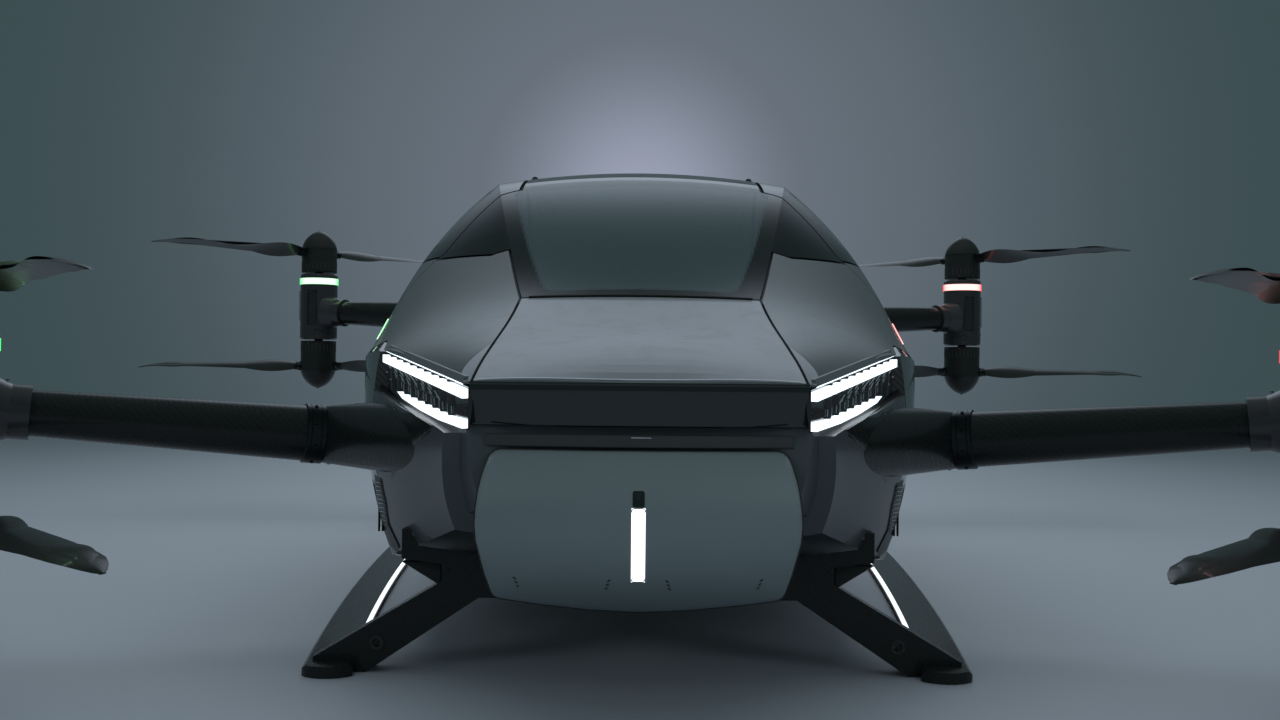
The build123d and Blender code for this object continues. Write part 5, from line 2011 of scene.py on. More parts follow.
class Cushion:
    """A cushion stuffed by cloth simulation, kept in its own axes."""

    frames = 20

    def __init__(self, plan: CushionPlan) -> None:
        """Stuff the plan's shape."""
        self.plan = plan
        self.mesh = self._stuffed()
        self.tree = BVHTree.FromPolygons(
            [vert.co for vert in self.mesh.vertices],
            [tuple(face.vertices) for face in self.mesh.polygons]
        )

    @staticmethod
    def _baked(piece: bpy.types.Object) -> bpy.types.Mesh:
        """Return an object's mesh with its modifiers applied."""
        graph = bpy.context.evaluated_depsgraph_get()
        return bpy.data.meshes.new_from_object(piece.evaluated_get(graph), depsgraph=graph)

    def _blank(self) -> bpy.types.Object:
        """Return the unstuffed shape, remeshed finely."""
        across, length, thick = self.plan.half
        outline = rounded_outline(across, length, self.plan.corner, 6)
        shape = bmesh.new()
        levels = ((-thick, 0.96), (-thick * 0.3, 1.0), (thick * 0.35, 0.99), (thick, 0.9))
        lofted(shape, [[(u * share, v * share, z) for u, v in outline] for z, share in levels])
        piece = from_bmesh(self.plan.name + "_blank", shape)
        remesh = piece.modifiers.new("Remesh", "REMESH")
        remesh.mode = "VOXEL"
        remesh.voxel_size = self.plan.voxel
        mesh = self._baked(piece)
        bpy.data.objects.remove(piece)
        return link(self.plan.name + "_blank", mesh)

    def _held(self, point: Vector) -> bool:
        """Return whether a seam or the seat under it holds a point of the shape."""
        if point.z < -self.plan.half[2] * 0.45:
            return True
        on_seam = any(abs(point.y - share * self.plan.half[1]) < 0.0042
                      for share in self.plan.channels)
        return on_seam and point.z > 0

    def _simulated(self, blank: bpy.types.Object) -> list[Vector]:
        """Blow the shape up as cloth and return where its points go."""
        group = blank.vertex_groups.new(name="held")
        group.add([v.index for v in blank.data.vertices if self._held(v.co)], 1.0, "REPLACE")
        cloth = blank.modifiers.new("Cloth", "CLOTH")
        cloth.settings.quality = 4
        cloth.settings.mass = 0.3
        cloth.settings.use_pressure = True
        cloth.settings.uniform_pressure_force = 4.0
        cloth.settings.effector_weights.gravity = 0.0
        cloth.settings.vertex_group_mass = group.name
        cloth.point_cache.frame_start = 1
        cloth.point_cache.frame_end = self.frames
        scene = bpy.context.scene
        for number in range(1, self.frames + 1):
            scene.frame_set(number)
        graph = bpy.context.evaluated_depsgraph_get()
        moved = [vert.co.copy() for vert in blank.evaluated_get(graph).data.vertices]
        blank.modifiers.remove(cloth)
        scene.frame_set(1)
        return moved

    def _stuffed(self) -> bpy.types.Mesh:
        """Return the finished mesh."""
        blank = self._blank()
        points = [vert.co.copy() for vert in blank.data.vertices]
        goals = self._simulated(blank)
        for vert, point, goal in zip(blank.data.vertices, points, goals):
            move = goal - point
            if move.length > self.plan.cap:
                move = move.normalized() * self.plan.cap
            vert.co = point + move
            if point.z > 0 and self._held(point):
                vert.co.z -= 0.0035
        blank.modifiers.new("Subdivision", "SUBSURF").levels = 1
        mesh = self._baked(blank)
        bpy.data.objects.remove(blank)
        for face in mesh.polygons:
            face.use_smooth = True
        return mesh

    def across(self, share: float, reach: float = 0.86, steps: int = 28,
               lift: float = 0.0006) -> list[Vector]:
        """Return points over the top, across the cushion at a share of its half length."""
        width, length, _ = self.plan.half
        row = []
        for i in range(steps + 1):
            origin = Vector((width * reach * (2 * i / steps - 1), share * length, 1.0))
            point, _, _, _ = self.tree.ray_cast(origin, Vector((0, 0, -1)))
            row.append(point + Vector((0, 0, lift)))
        return row

    def rim(self, inset: float, lift: float = 0.0006, steps: int = 12) -> list[Vector]:
        """Return points round the top, so far inside its edge."""
        width, length, _ = self.plan.half
        corner = max(self.plan.corner - inset, 0.004)
        sparse = rounded_outline(width - inset, length - inset, corner, 5)
        ring = []
        for (u0, v0), (u1, v1) in zip(sparse, sparse[1:] + sparse[:1]):
            count = steps if math.hypot(u1 - u0, v1 - v0) > 0.03 else 1
            for i in range(count):
                share = i / count
                origin = Vector((u0 + (u1 - u0) * share, v0 + (v1 - v0) * share, 1.0))
                point, _, _, _ = self.tree.ray_cast(origin, Vector((0, 0, -1)))
                if point is not None:
                    ring.append(point + Vector((0, 0, lift)))
        return ring

    def put(self, name: str, places: Sequence[Matrix]) -> bpy.types.Object:
        """Publish copies of the cushion at the places as one padded piece and return it."""
        shape = bmesh.new()
        for place in places:
            part = bmesh.new()
            part.from_mesh(self.mesh)
            if place.determinant() < 0:
                bmesh.ops.reverse_faces(part, faces=part.faces)
            absorb(shape, part, place)
        mesh = bpy.data.meshes.new(name)
        shape.to_mesh(mesh)
        shape.free()
        for face in mesh.polygons:
            face.use_smooth = True
        piece = publish(link(name, mesh), self.plan.finish)
        return piece


@dataclass
class Seats:
    """Cushions, shells' trim and harnesses of both seats."""

    seat_x: float = 0.3

    @staticmethod
    def _frame(y: float, z: float, run: tuple[float, float], rise: float) -> Matrix:
        """Return the place of a cushion on a seat's face, on the centre line.

        Args:
            y: Middle of the face.
            z: Middle of the face.
            run: Direction along the cushion in the side view.
            rise: Distance of its middle from the face.

        Returns:
            The matrix.
        """
        along_face = Vector((0, *run)).normalized()
        outward = Vector((1, 0, 0)).cross(along_face)
        place = Matrix((Vector((1, 0, 0)), along_face, outward)).transposed().to_4x4()
        return Matrix.Translation(Vector((0, y, z)) + outward * rise) @ place

    def _spots(self, place: Matrix, shift: float = 0.0) -> list[Matrix]:
        """Return a cushion's places on both seats, with its mirror image where it is shifted."""
        shifts = (shift, -shift) if shift else (0.0,)
        return [Matrix.Translation((side.value * self.seat_x + s, 0, 0)) @ place for side in Side
                for s in shifts]

    def _lines(self, rows: Sequence[Sequence[Vector]],
               places: Sequence[Matrix]) -> list[list[Vector]]:
        """Return lines of a cushion's own axes at each of its places."""
        return [[place @ point for point in row] for place in places for row in rows]

    def build(self, shop: Workshop) -> None:
        """Fit out both seats."""
        inserts = (
            (CushionPlan("seat_base_inserts", (0.128, 0.178, 0.026), 0.035, Palette.leather, 0.013,
                         (-0.6, -0.2, 0.2, 0.6)),
                         self._frame(-0.238, 0.4785, (0.37, -0.045), 0.022)),
            (CushionPlan("seat_back_inserts", (0.122, 0.235, 0.026), 0.04, Palette.leather, 0.013,
                         (-0.66, -0.33, 0.0, 0.33, 0.66)),
                         self._frame(0.15, 0.745, (0.18, 0.53), 0.022)),
        )
        for plan, place in inserts:
            cushion = Cushion(plan)
            places = self._spots(place)
            cushion.put(plan.name, places)
            rows = [cushion.across(share) for share in plan.channels]
            shop.stitch(plan.name.replace("inserts", "stitches"), self._lines(rows, places),
                        pitch=0.007)
            shop.bead(plan.name.replace("inserts", "piping"),
                      self._lines([cushion.rim(0.004, 0.0)], places), 0.0028,
                      Palette.bolster, closed=True)
        bolsters = (
            (CushionPlan("seat_base_bolsters", (0.036, 0.19, 0.036), 0.03, Palette.bolster, 0.012),
             self._frame(-0.235, 0.478, (0.37, -0.045), 0.036)),
            (CushionPlan("seat_back_bolsters", (0.036, 0.225, 0.038), 0.03, Palette.bolster,
                         0.012),
             self._frame(0.145, 0.73, (0.18, 0.53), 0.038)),
        )
        for plan, place in bolsters:
            cushion = Cushion(plan)
            places = self._spots(place, 0.176)
            cushion.put(plan.name, places)
            shop.stitch(plan.name + "_stitches", self._lines([cushion.rim(0.016)], places),
                        closed=True, pitch=0.0075)
        head = CushionPlan("seat_headrests", (0.115, 0.068, 0.032), 0.035, Palette.leather, 0.012)
        cushion = Cushion(head)
        places = self._spots(self._frame(0.2275, 1.1, (-0.025, 0.16), 0.03))
        cushion.put(head.name, places)
        shop.stitch("seat_headrest_stitches", self._lines([cushion.rim(0.02)], places),
                    closed=True, pitch=0.0075)
        self._shell(shop)
        self._harness()

    def _shell(self, shop: Workshop) -> None:
        """Trim the seats' hard shells."""
        outline = [(-0.43, 0.497), (-0.06, 0.452), (0.057, 0.477), (0.24, 1.01), (0.2145, 1.17),
                   (0.3, 1.191), (0.381, 1.04), (0.241, 0.43)]
        paths = []
        for side in Side:
            for shift in (0.2255, -0.2255):
                paths.append([
                    Vector((side.value * self.seat_x + shift, y, z)) for y, z in outline
                ])
        shop.bead("seat_shell_edges", paths, 0.004, Palette.steel_dark)
        rails, levers = bmesh.new(), bmesh.new()
        for side in Side:
            for shift in (0.17, -0.17):
                x = side.value * self.seat_x + shift
                slab(rails, (x - 0.018, -0.47, 0.3252), (x + 0.018, 0.24, 0.343), 0.003, 1)
            x = side.value * (self.seat_x - 0.231)
            slab(levers, (x - 0.005, -0.35, 0.385), (x + 0.005, -0.24, 0.407), 0.004, 2)
        made("seat_rails", rails, Palette.steel_dark)
        made("seat_levers", levers, Palette.trim)
        spots = []
        for y in (-0.45, -0.3, 0.2):
            for shift in (0.17, -0.17):
                spots.append(((self.seat_x + shift, y, 0.343), (0, 0, 1)))
        shop.screw("seat_rail_bolts", both_spots(spots), 0.006, 0.004)
        knobs = []
        for z, y in ((0.42, -0.3), (0.44, 0.12), (0.7, 0.21), (0.95, 0.28)):
            knobs.append(((self.seat_x - 0.225, y, z), (-1, 0, 0)))
            knobs.append(((self.seat_x + 0.225, y, z), (1, 0, 0)))
        shop.screw("seat_shell_bolts", both_spots(knobs), 0.006, 0.0035)

    def _harness(self) -> None:
        """Lay the four-point harness of each seat."""
        straps, metal, pads = bmesh.new(), bmesh.new(), bmesh.new()
        for side in Side:
            x = side.value * self.seat_x
            for sense in (1, -1):
                shoulder = [(0.062, 0.262, 1.012), (0.064, 0.2, 0.985), (0.066, 0.168, 0.9),
                            (0.064, 0.118, 0.76),
                            (0.052, 0.066, 0.62), (0.03, 0.02, 0.557), (0.014, -0.02, 0.545)]
                path = smoothed([Vector((x + sense * a, y, z)) for a, y, z in shoulder], 6)
                ribbon(straps, path, (1, 0, 0), 0.046, 0.0022)
                lap = [(0.214, 0.05, 0.53), (0.2, 0.02, 0.576), (0.15, -0.022, 0.562),
                       (0.09, -0.036, 0.546), (0.02, -0.045, 0.545)]
                path = smoothed([Vector((x + sense * a, y, z)) for a, y, z in lap], 6)
                ribbon(straps, path, (0, 0.8, 0.6), 0.046, 0.0022)
                slab(metal, (-0.029, -0.017, -0.003), (0.029, 0.017, 0.004), 0.0025, 2,
                     facing_matrix((x + sense * 0.065, 0.13, 0.812), (0, -0.947, 0.32)))
                pad = smoothed([Vector((x + sense * a, y - 0.006, z + 0.002)) for a, y,
                                z in shoulder[1:4]], 6)
                ribbon(pads, pad, (1, 0, 0), 0.06, 0.009)
            place = facing_matrix((x, -0.035, 0.55), (0, -0.35, 0.94))
            turned(metal, [(0.0, 0.014), (0.022, 0.013), (0.029, 0.009), (0.031, 0.0),
                           (0.029, -0.006), (0.0, -0.006)],
                   40, place)
            slab(pads, (-0.011, -0.016, 0.011), (0.011, 0.016, 0.0165), 0.002, 2, place)
        made("harness_straps", straps, Palette.webbing)
        made("harness_buckles", metal, Palette.steel)
        made("harness_pads", pads, Palette.trim)


@dataclass
class Cabin:
    """Floor, dashboard, console and roof lining."""

    def _floor(self) -> None:
        """Lay carpet, pedals and their treads."""
        shape = bmesh.new()
        slab(shape, (-0.52, -1.2, 0.3252), (0.52, -0.455, 0.333), 0.003, 1)
        slab(shape, (-0.5, 0.26, 0.3252), (0.5, 0.62, 0.333), 0.003, 1)
        made("cabin_carpet", shape, Palette.carpet)
        pedals, treads = bmesh.new(), bmesh.new()
        for x in (-0.38, -0.24, 0.24, 0.38):
            place = facing_matrix((x, -1.02, 0.43), (0, 0.86, 0.5))
            slab(pedals, (-0.035, -0.055, -0.006), (0.035, 0.055, 0.004), 0.004, 2, place)
            for v in (-0.036, -0.018, 0.0, 0.018, 0.036):
                slab(treads, (-0.027, v - 0.004, 0.003), (0.027, v + 0.004, 0.0068), 0.0015, 1,
                     place)
            slab(pedals, (x - 0.008, -1.06, 0.326), (x + 0.008, -1.03, 0.43), 0.002, 1)
        made("pedals", pedals, Palette.steel_dark)
        made("pedal_treads", treads, Palette.rubber)

    def _dashboard(self, shop: Workshop) -> None:
        """Fit vents, bezel, keys and stitching to the dashboard."""
        skin = Skin("dashboard", "display")
        rings, cores, keys = bmesh.new(), bmesh.new(), bmesh.new()
        for x in (-0.46, -0.33, 0.33, 0.46):
            point, normal = skin.cast((x, 1.0, 0.83), (0, -1, 0))
            place = facing_matrix(point, normal)
            turned(rings, [(0.036, 0.0), (0.0345, 0.005), (0.031, 0.006), (0.029, 0.003),
                           (0.0285, -0.002)], 48, place)
            turned(cores, [(0.0, 0.0035), (0.008, 0.0032), (0.0095, 0.0005), (0.0095, -0.001)], 24,
                   place)
            for i in range(7):
                slab(cores, (-0.0275, -0.0235 + 0.0072 * i, 0.0002),
                     (0.0275, -0.0215 + 0.0072 * i, 0.0026), 0.0006, 1,
                     place)
        made("dash_vent_rings", rings, Palette.steel_dark)
        made("dash_vent_blades", cores, Palette.rubber)
        for i in range(8):
            point, normal = skin.cast((-0.105 + 0.03 * i, 1.0, 0.777), (0, -1, 0))
            slab(keys, (-0.0115, -0.007, -0.001), (0.0115, 0.007, 0.003), 0.0022, 2,
                 facing_matrix(point, normal))
        made("dash_keys", keys, Palette.gloss)
        line = skin.path([(x, -1.045, 2.0) for x in spread(-0.6, 1.2, 60)], (0, 0, -1), 0.0008)
        lip = skin.path([(x, -1.036, 2.0) for x in spread(-0.62, 1.24, 60)], (0, 0, -1))
        shop.stitch("dash_stitches", [line])
        shop.bead("dash_lip", [lip], 0.004, Palette.rubber)
        grille = bmesh.new()
        for i in range(46):
            x = -0.54 + 0.024 * i
            point, normal = skin.cast((x, -1.24, 2.0), (0, 0, -1))
            slab(grille, (-0.0085, -0.026, -0.001), (0.0085, 0.026, 0.0018), 0.0016, 1,
                 facing_matrix(point, normal, (0, 1, 0)))
        made("demist_grille", grille, Palette.rubber)

    def _console(self, shop: Workshop) -> None:
        """Fit the grip, boot, armrest and switches to the console."""
        grip, boot, switches = bmesh.new(), bmesh.new(), bmesh.new()
        place = Matrix.Translation((0, -0.44, 0.0))
        turned(boot, [(0.046, 0.4995), (0.044, 0.506), (0.03, 0.513), (0.036, 0.518),
                      (0.024, 0.524), (0.028, 0.529),
                      (0.016, 0.536), (0.0125, 0.548), (0.0112, 0.548)], 40, place)
        turned(grip, [(0.0112, 0.56), (0.019, 0.564), (0.0215, 0.58), (0.0195, 0.596),
                      (0.0225, 0.612), (0.0268, 0.628),
                      (0.0268, 0.64), (0.02, 0.65), (0.0, 0.654)], 40, place)
        for i in range(3):
            turned(switches, [(0.0, 0.003), (0.0034, 0.0026), (0.004, 0.0), (0.004, -0.002)], 20,
                   facing_matrix((-0.008 + 0.008 * i, -0.4125, 0.637 + 0.001 * (i % 2)),
                                 (0, 1, 0.25)))
        skin = Skin("console")
        for row in range(3):
            for i in range(4):
                point, normal = skin.cast((-0.027 + 0.018 * i, -0.33 + 0.028 * row, 2.0),
                                          (0, 0, -1))
                slab(switches, (-0.0065, -0.009, -0.001), (0.0065, 0.009, 0.0032), 0.0015, 2,
                     facing_matrix(point, normal, (0, 1, 0)))
        made("stick_boot", boot, Palette.rubber)
        made("stick_grip", grip, Palette.trim)
        made("console_switches", switches, Palette.gloss)
        pad = CushionPlan("console_armrest", (0.042, 0.125, 0.018), 0.016, Palette.leather, 0.007,
                          voxel=0.005)
        cushion = Cushion(pad)
        top = Matrix.Translation((0, -0.06, 0.5315)) @ Matrix.Rotation(math.radians(1.9), 4, "X")
        cushion.put(pad.name, [top])
        shop.stitch("console_armrest_stitches", [[top @ point for point in cushion.rim(0.011)]],
                    closed=True)
        edge = [(0.05, -0.56, 0.47), (0.05, -0.5, 0.5), (0.05, 0.1, 0.52)]
        shop.bead("console_edges", [edge, flipped(edge)], 0.0025, Palette.steel_dark)

    def _roof(self, shop: Workshop) -> None:
        """Line the roof and hang its panel of slats."""
        skin = Skin("roof_panel")
        liner = bmesh.new()
        skin.plate(liner, (0, 0.0, 0.9), (0, 0, 1), (1, 0, 0), rounded_outline(0.3, 0.54, 0.06, 6),
                   0.006, 0.004, 6)
        made("roof_liner", liner, Palette.liner)
        panel = bmesh.new()
        slab(panel, (-0.075, 0.0, 1.288), (0.075, 0.22, 1.312), 0.008, 3)
        made("overhead_panel", panel, Palette.trim)
        shop.run("overhead_slats", (0, 0.03, 1.2865), (0, 0.19, 1.2865), 9, (0.082, 0.007, 0.006),
                 Palette.steel,
                 tilt=(math.radians(25), 0, 0))
        lens = bmesh.new()
        for x in (-0.056, 0.056):
            slab(lens, (x - 0.01, 0.05, 1.2845), (x + 0.01, 0.17, 1.2885), 0.002, 2)
        made("overhead_lamps", lens, Palette.cabin_light)

    def build(self, shop: Workshop) -> None:
        """Fit out the cabin."""
        self._floor()
        self._dashboard(shop)
        self._console(shop)
        self._roof(shop)


@dataclass
class DoorGear:
    """Trim, handle and seals of the left door and its mirror image on the right."""

    window: tuple[tuple[float, float], ...] = ((-0.8, 1.065), (0.502, 1.065), (0.417, 1.262),
                                               (-0.59, 1.262))

    def _publish(self, name: str, shape: bmesh.types.BMesh, finish: Finish) -> None:
        """Hand a piece of the left door and its mirror image to the doors' bodies."""
        for side, copy in on_each_side(shape):
            made(f"{name}_{side.word}", copy, finish, f"door_{side.word}")
        shape.free()

    def _beads(self, shop: Workshop, name: str, paths: Sequence[Sequence[Vector]], radius: float,
               finish: Finish,
               closed: bool = False) -> None:
        """Sweep beads on both doors from paths of the left one."""
        for side in Side:
            flip = Vector((side.value, 1, 1))
            lines = [[Vector(point) * flip for point in path] for path in paths]
            shop.bead(f"{name}_{side.word}", lines, radius, finish, f"door_{side.word}", closed)

    def _outside(self, shop: Workshop) -> None:
        """Fit the flush handle, its lock and the window's seal."""
        skin = Skin("door_left", "door_glass_left")
        for name, outline, proud, edge, finish in (
            ("door_handle_recess", rounded_outline(0.092, 0.021, 0.02, 6), 0.0008, 0.0007,
             Palette.rubber),
            ("door_handle", rounded_outline(0.08, 0.0125, 0.012, 6), 0.0034, 0.0022,
             Palette.gloss),
        ):
            plate = bmesh.new()
            skin.plate(plate, (2.0, 0.33, 0.87), (-1, 0, 0), (0, 1, 0), outline, proud, edge, 3)
            self._publish(name, plate, finish)
        lock = bmesh.new()
        point, normal = skin.cast((2.0, 0.45, 0.87), (-1, 0, 0))
        turned(lock, [(0.0, 0.0012), (0.0065, 0.0014), (0.009, 0.002), (0.0098, 0.0)], 32,
               facing_matrix(point, normal))
        self._publish("door_lock", lock, Palette.steel)
        corners = list(self.window) + [self.window[0]]
        ring = []
        for (y0, z0), (y1, z1) in zip(corners, corners[1:]):
            for i in range(18):
                ring.append((y0 + (y1 - y0) * i / 18, z0 + (z1 - z0) * i / 18))
        inner = Skin("door_left")
        path = []
        centre_y, centre_z, outset = -0.12, 1.16, 0.008
        for y, z in ring:
            scale_y = 1 + outset / abs(y - centre_y) if abs(y - centre_y) > 0.05 else 1
            start = Vector((0.0, centre_y + (y - centre_y) * scale_y,
                            z + math.copysign(outset, z - centre_z)))
            point = inner.tree.ray_cast(start, Vector((1, 0, 0)))[0]
            if point is not None:
                path.append(point + Vector((-0.001, 0, 0)))
        self._beads(shop, "door_window_seal", [path], 0.0045, Palette.rubber, True)
        belt = skin.path([(2.0, y, 1.013) for y in spread(-0.84, 1.3, 40)], (-1, 0, 0))
        self._beads(shop, "door_belt_strip", [belt], 0.003, Palette.steel_dark)

    def _inside(self) -> None:
        """Fit the trim panel, armrest, pull and speaker."""
        skin = Skin("door_left")
        panel, rest, grille, pull = bmesh.new(), bmesh.new(), bmesh.new(), bmesh.new()
        skin.plate(panel, (0.0, -0.17, 0.72), (1, 0, 0), (0, 1, 0),
                   rounded_outline(0.66, 0.25, 0.07, 6), 0.007, 0.005, 8)
        self._publish("door_trim", panel, Palette.trim)
        inward, outward = (-1, 0, 0), (1, 0, 0)
        place = facing_matrix(skin.cast((0.0, -0.12, 0.7), outward)[0], inward)
        slab(rest, (-0.24, -0.032, 0.0), (0.24, 0.032, 0.062), 0.014, 3, place)
        self._publish("door_armrest", rest, Palette.leather)
        place = facing_matrix(skin.cast((0.0, -0.42, 0.82), outward)[0], inward)
        slab(pull, (-0.075, -0.011, 0.02), (0.075, 0.011, 0.034), 0.006, 3, place)
        for u in (-0.062, 0.062):
            slab(pull, (u - 0.009, -0.009, 0.0), (u + 0.009, 0.009, 0.03), 0.003, 2, place)
        self._publish("door_pull", pull, Palette.steel_dark)
        place = facing_matrix(skin.cast((0.0, -0.6, 0.62), outward)[0], inward)
        turned(grille, [(0.06, 0.004), (0.058, 0.013), (0.053, 0.0135), (0.05, 0.0105),
                        (0.0, 0.0115)], 48, place)
        for ring, count in ((0.012, 6), (0.024, 12), (0.036, 18)):
            for i in range(count):
                angle = 2 * math.pi * i / count
                spot = place @ Matrix.Translation(
                    (ring * math.cos(angle), ring * math.sin(angle), 0.0105))
                turned(grille, [(0.0, 0.0022), (0.0026, 0.0016), (0.0032, 0.0)], 8, spot)
        self._publish("door_speaker", grille, Palette.rubber)

    def build(self, shop: Workshop) -> None:
        """Fit both doors."""
        self._outside(shop)
        self._inside()


@dataclass
class Tail:
    """Hatch lines, vents, antenna and fastenings of tail and belly."""

    def _hatches(self, shop: Workshop) -> None:
        """Draw the hatches' seams and set their screws."""
        skin = Skin("rear_shell")
        ring = [(u, v + 1.12, 3.0) for u, v in rounded_outline(0.24, 0.3, 0.05, 6)]
        dense = []
        for first, second in zip(ring, ring[1:] + ring[:1]):
            count = 10 if (Vector(first) - Vector(second)).length > 0.05 else 1
            dense += [Vector(first).lerp(Vector(second), i / count) for i in range(count)]
        path = skin.path(dense, (0, 0, -1))
        shop.bead("rear_hatch_seam", [path], 0.0018, Palette.rubber, closed=True)
        spots = [skin.cast((point.x * 0.93, 1.12 + (point.y - 1.12) * 0.95, 3.0), (0, 0, -1))
                 for point in dense[::6]]
        shop.screw("rear_hatch_screws", spots, 0.004, 0.0015, Palette.steel_dark)
        flap = bmesh.new()
        skin.plate(flap, (2.0, 1.05, 0.78), (-1, 0, 0), (0, 1, 0),
                   rounded_outline(0.055, 0.055, 0.016, 5), 0.001, 0.0009, 4)
        made("charge_flap", flap, Palette.body)
        ring = rounded_outline(0.0565, 0.0565, 0.017, 5)
        line = skin.path([(2.0, 1.05 + u, 0.78 + v) for u, v in ring], (-1, 0, 0))
        shop.bead("charge_flap_seam", [line], 0.0014, Palette.rubber, closed=True)

    def _vents(self, shop: Workshop) -> None:
        """Set the battery's outlet louvres in the tail."""
        skin = Skin("rear_shell", "lower_hull")
        shape = bmesh.new()
        for i in range(7):
            spot, normal = skin.cast((2.0, 1.36 + 0.028 * i, 0.8), (-1, 0, 0))
            slab(shape, (-0.0085, -0.05, -0.002), (0.0085, 0.05, 0.0045), 0.003, 2,
                 facing_matrix(spot, normal) @ Matrix.Rotation(math.radians(14), 4, "Z"))
        made("tail_louvres", on_both_sides(shape), Palette.rubber)
        ring = rounded_outline(0.105, 0.066, 0.02, 5)
        line = skin.path([(2.0, 1.444 + u, 0.8 + v) for u, v in ring], (-1, 0, 0))
        shop.bead("tail_louvre_frames", [line, flipped(line)], 0.002, Palette.steel_dark,
                  closed=True)
        bar = Skin("tail_light")
        for word, z in (("upper", 0.8372), ("lower", 0.8128)):
            path = bar.path([(x, 4.0, z) for x in spread(-0.274, 0.548, 30)], (0, -1, 0), 0.0004)
            shop.bead(f"tail_light_{word}_rim", [path], 0.0015, Palette.rubber)
        ribs = bmesh.new()
        for x in spread(-0.27, 0.54, 37):
            slab(ribs, (x - 0.0012, 1.9005, 0.8155), (x + 0.0012, 1.9032, 0.8345), 0.0004, 1)
        made("tail_light_prisms", ribs, Palette.tail)

    def _antennas(self) -> None:
        """Stand the blade antenna and the anti-collision lamp on the roof."""
        skin = Skin("roof_panel", "rear_shell")
        foot, _ = skin.cast((0, 0.5, 3.0), (0, 0, -1))
        blade = bmesh.new()
        rows = ((0.0, 0.062, 0.009, 0.0), (0.012, 0.05, 0.006, 0.006),
                (0.045, 0.03, 0.0035, 0.026), (0.058, 0.018, 0.002, 0.036))
        rings = []
        for rise, half_length, half_width, shift in rows:
            ring = []
            for i in range(20):
                angle = 2 * math.pi * i / 20
                ring.append((half_width * math.cos(angle), foot.y + shift + half_length
                             * math.sin(angle), foot.z - 0.003 + rise))
            rings.append(ring)
        lofted(blade, rings)
        made("roof_antenna", blade, Palette.gloss)
        spot, normal = skin.cast((0, 0.72, 3.0), (0, 0, -1))
        place = facing_matrix(spot, normal, (0, 1, 0))
        base, dome = bmesh.new(), bmesh.new()
        turned(base, [(0.024, -0.002), (0.024, 0.003), (0.021, 0.0055), (0.0, 0.0055)], 40, place)
        turned(dome, [(0.018, 0.005), (0.0175, 0.013), (0.013, 0.02), (0.006, 0.0225),
                      (0.0, 0.023)], 32, place)
        made("beacon_base", base, Palette.rubber)
        made("beacon_dome", dome, Palette.lens_clear)

    def _belly(self, shop: Workshop) -> None:
        """Lay access panels and drains under the hull."""
        skin = Skin("lower_hull")
        panels, spots = bmesh.new(), []
        for y, half_x, half_y in ((-1.0, 0.24, 0.2), (-0.35, 0.28, 0.3), (0.4, 0.28, 0.3),
                                  (1.05, 0.22, 0.22)):
            outline = rounded_outline(half_x, half_y, 0.04, 4)
            skin.plate(panels, (0, y, -1.0), (0, 0, 1), (1, 0, 0), outline, 0.0015, 0.0012, 5)
            for u, v in outline[::3]:
                spots.append(skin.cast((u * 0.93, y + v * 0.94, -1.0), (0, 0, 1)))
        made("belly_panels", panels, Palette.frame_black)
        shop.screw("belly_screws", [(point + normal * 0.0015, normal) for point, normal in spots],
                   0.0048, 0.0015, Palette.steel_dark)
        drains = bmesh.new()
        for x in (-0.4, 0.4):
            for y in (-0.7, 0.1, 0.8):
                point, normal = skin.cast((x, y, -1.0), (0, 0, 1))
                turned(drains, [(0.009, 0.0), (0.009, 0.002), (0.0065, 0.0022), (0.0064, -0.001)],
                       20,
                       facing_matrix(point, normal, (0, 1, 0)))
        made("belly_drains", drains, Palette.steel_dark)

    def build(self, shop: Workshop) -> None:
        """Fit tail, roof and belly."""
        self._hatches(shop)
        self._vents(shop)
        self._antennas()
        self._belly(shop)


class CadFinishes:
    """Dresses every CAD node that stays in sight."""

    table: dict[str, Finish] = {
        "lower_hull": Palette.hull,
        "nose_panel": Palette.nose,
        "nose_band": Palette.gloss,
        "nose_light": Palette.lamp_white,
        "hood": Palette.body,
        "fender_left": Palette.body,
        "fender_right": Palette.body,
        "cheeks": Palette.hull,
        "side_panels": Palette.carbon,
        "side_vents": Palette.frame_black,
        "windscreen": Palette.windscreen,
        "windscreen_frame": Palette.frame_black,
        "roof_panel": Palette.roof,
        "rear_shell": Palette.body,
        "tail_light": Palette.tail,
        "headlamp_housings": Palette.lamp_body,
        "headlamp_bars": Palette.lamp_white,
        "arm_collars": Palette.collar,
        "beacons_port": Palette.port,
        "beacons_starboard": Palette.starboard,
        "dashboard": Palette.trim,
        "display": Palette.display,
        "console": Palette.trim,
        "battery_pack": Palette.battery,
    }
    by_prefix: dict[str, Finish] = {
        "arm_front": Palette.skid,
        "arm_rear": Palette.skid,
        "motor_pod": Palette.pod,
        "skid": Palette.skid,
        "rotor": Palette.rotor,
        "door_glass": Palette.door_glass,
        "door": Palette.body,
        "seat": Palette.leather,
    }

    def dress(self) -> None:
        """Put each node's finish into its object's material slots."""
        for node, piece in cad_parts.items():
            finish = self.table.get(node)
            if finish is None:
                finish = next(made for prefix, made in self.by_prefix.items()
                              if node.startswith(prefix))
            for slot in piece.material_slots:
                slot.material = finish.material()
            log.info("%s: dressed with %s", node, finish.name)


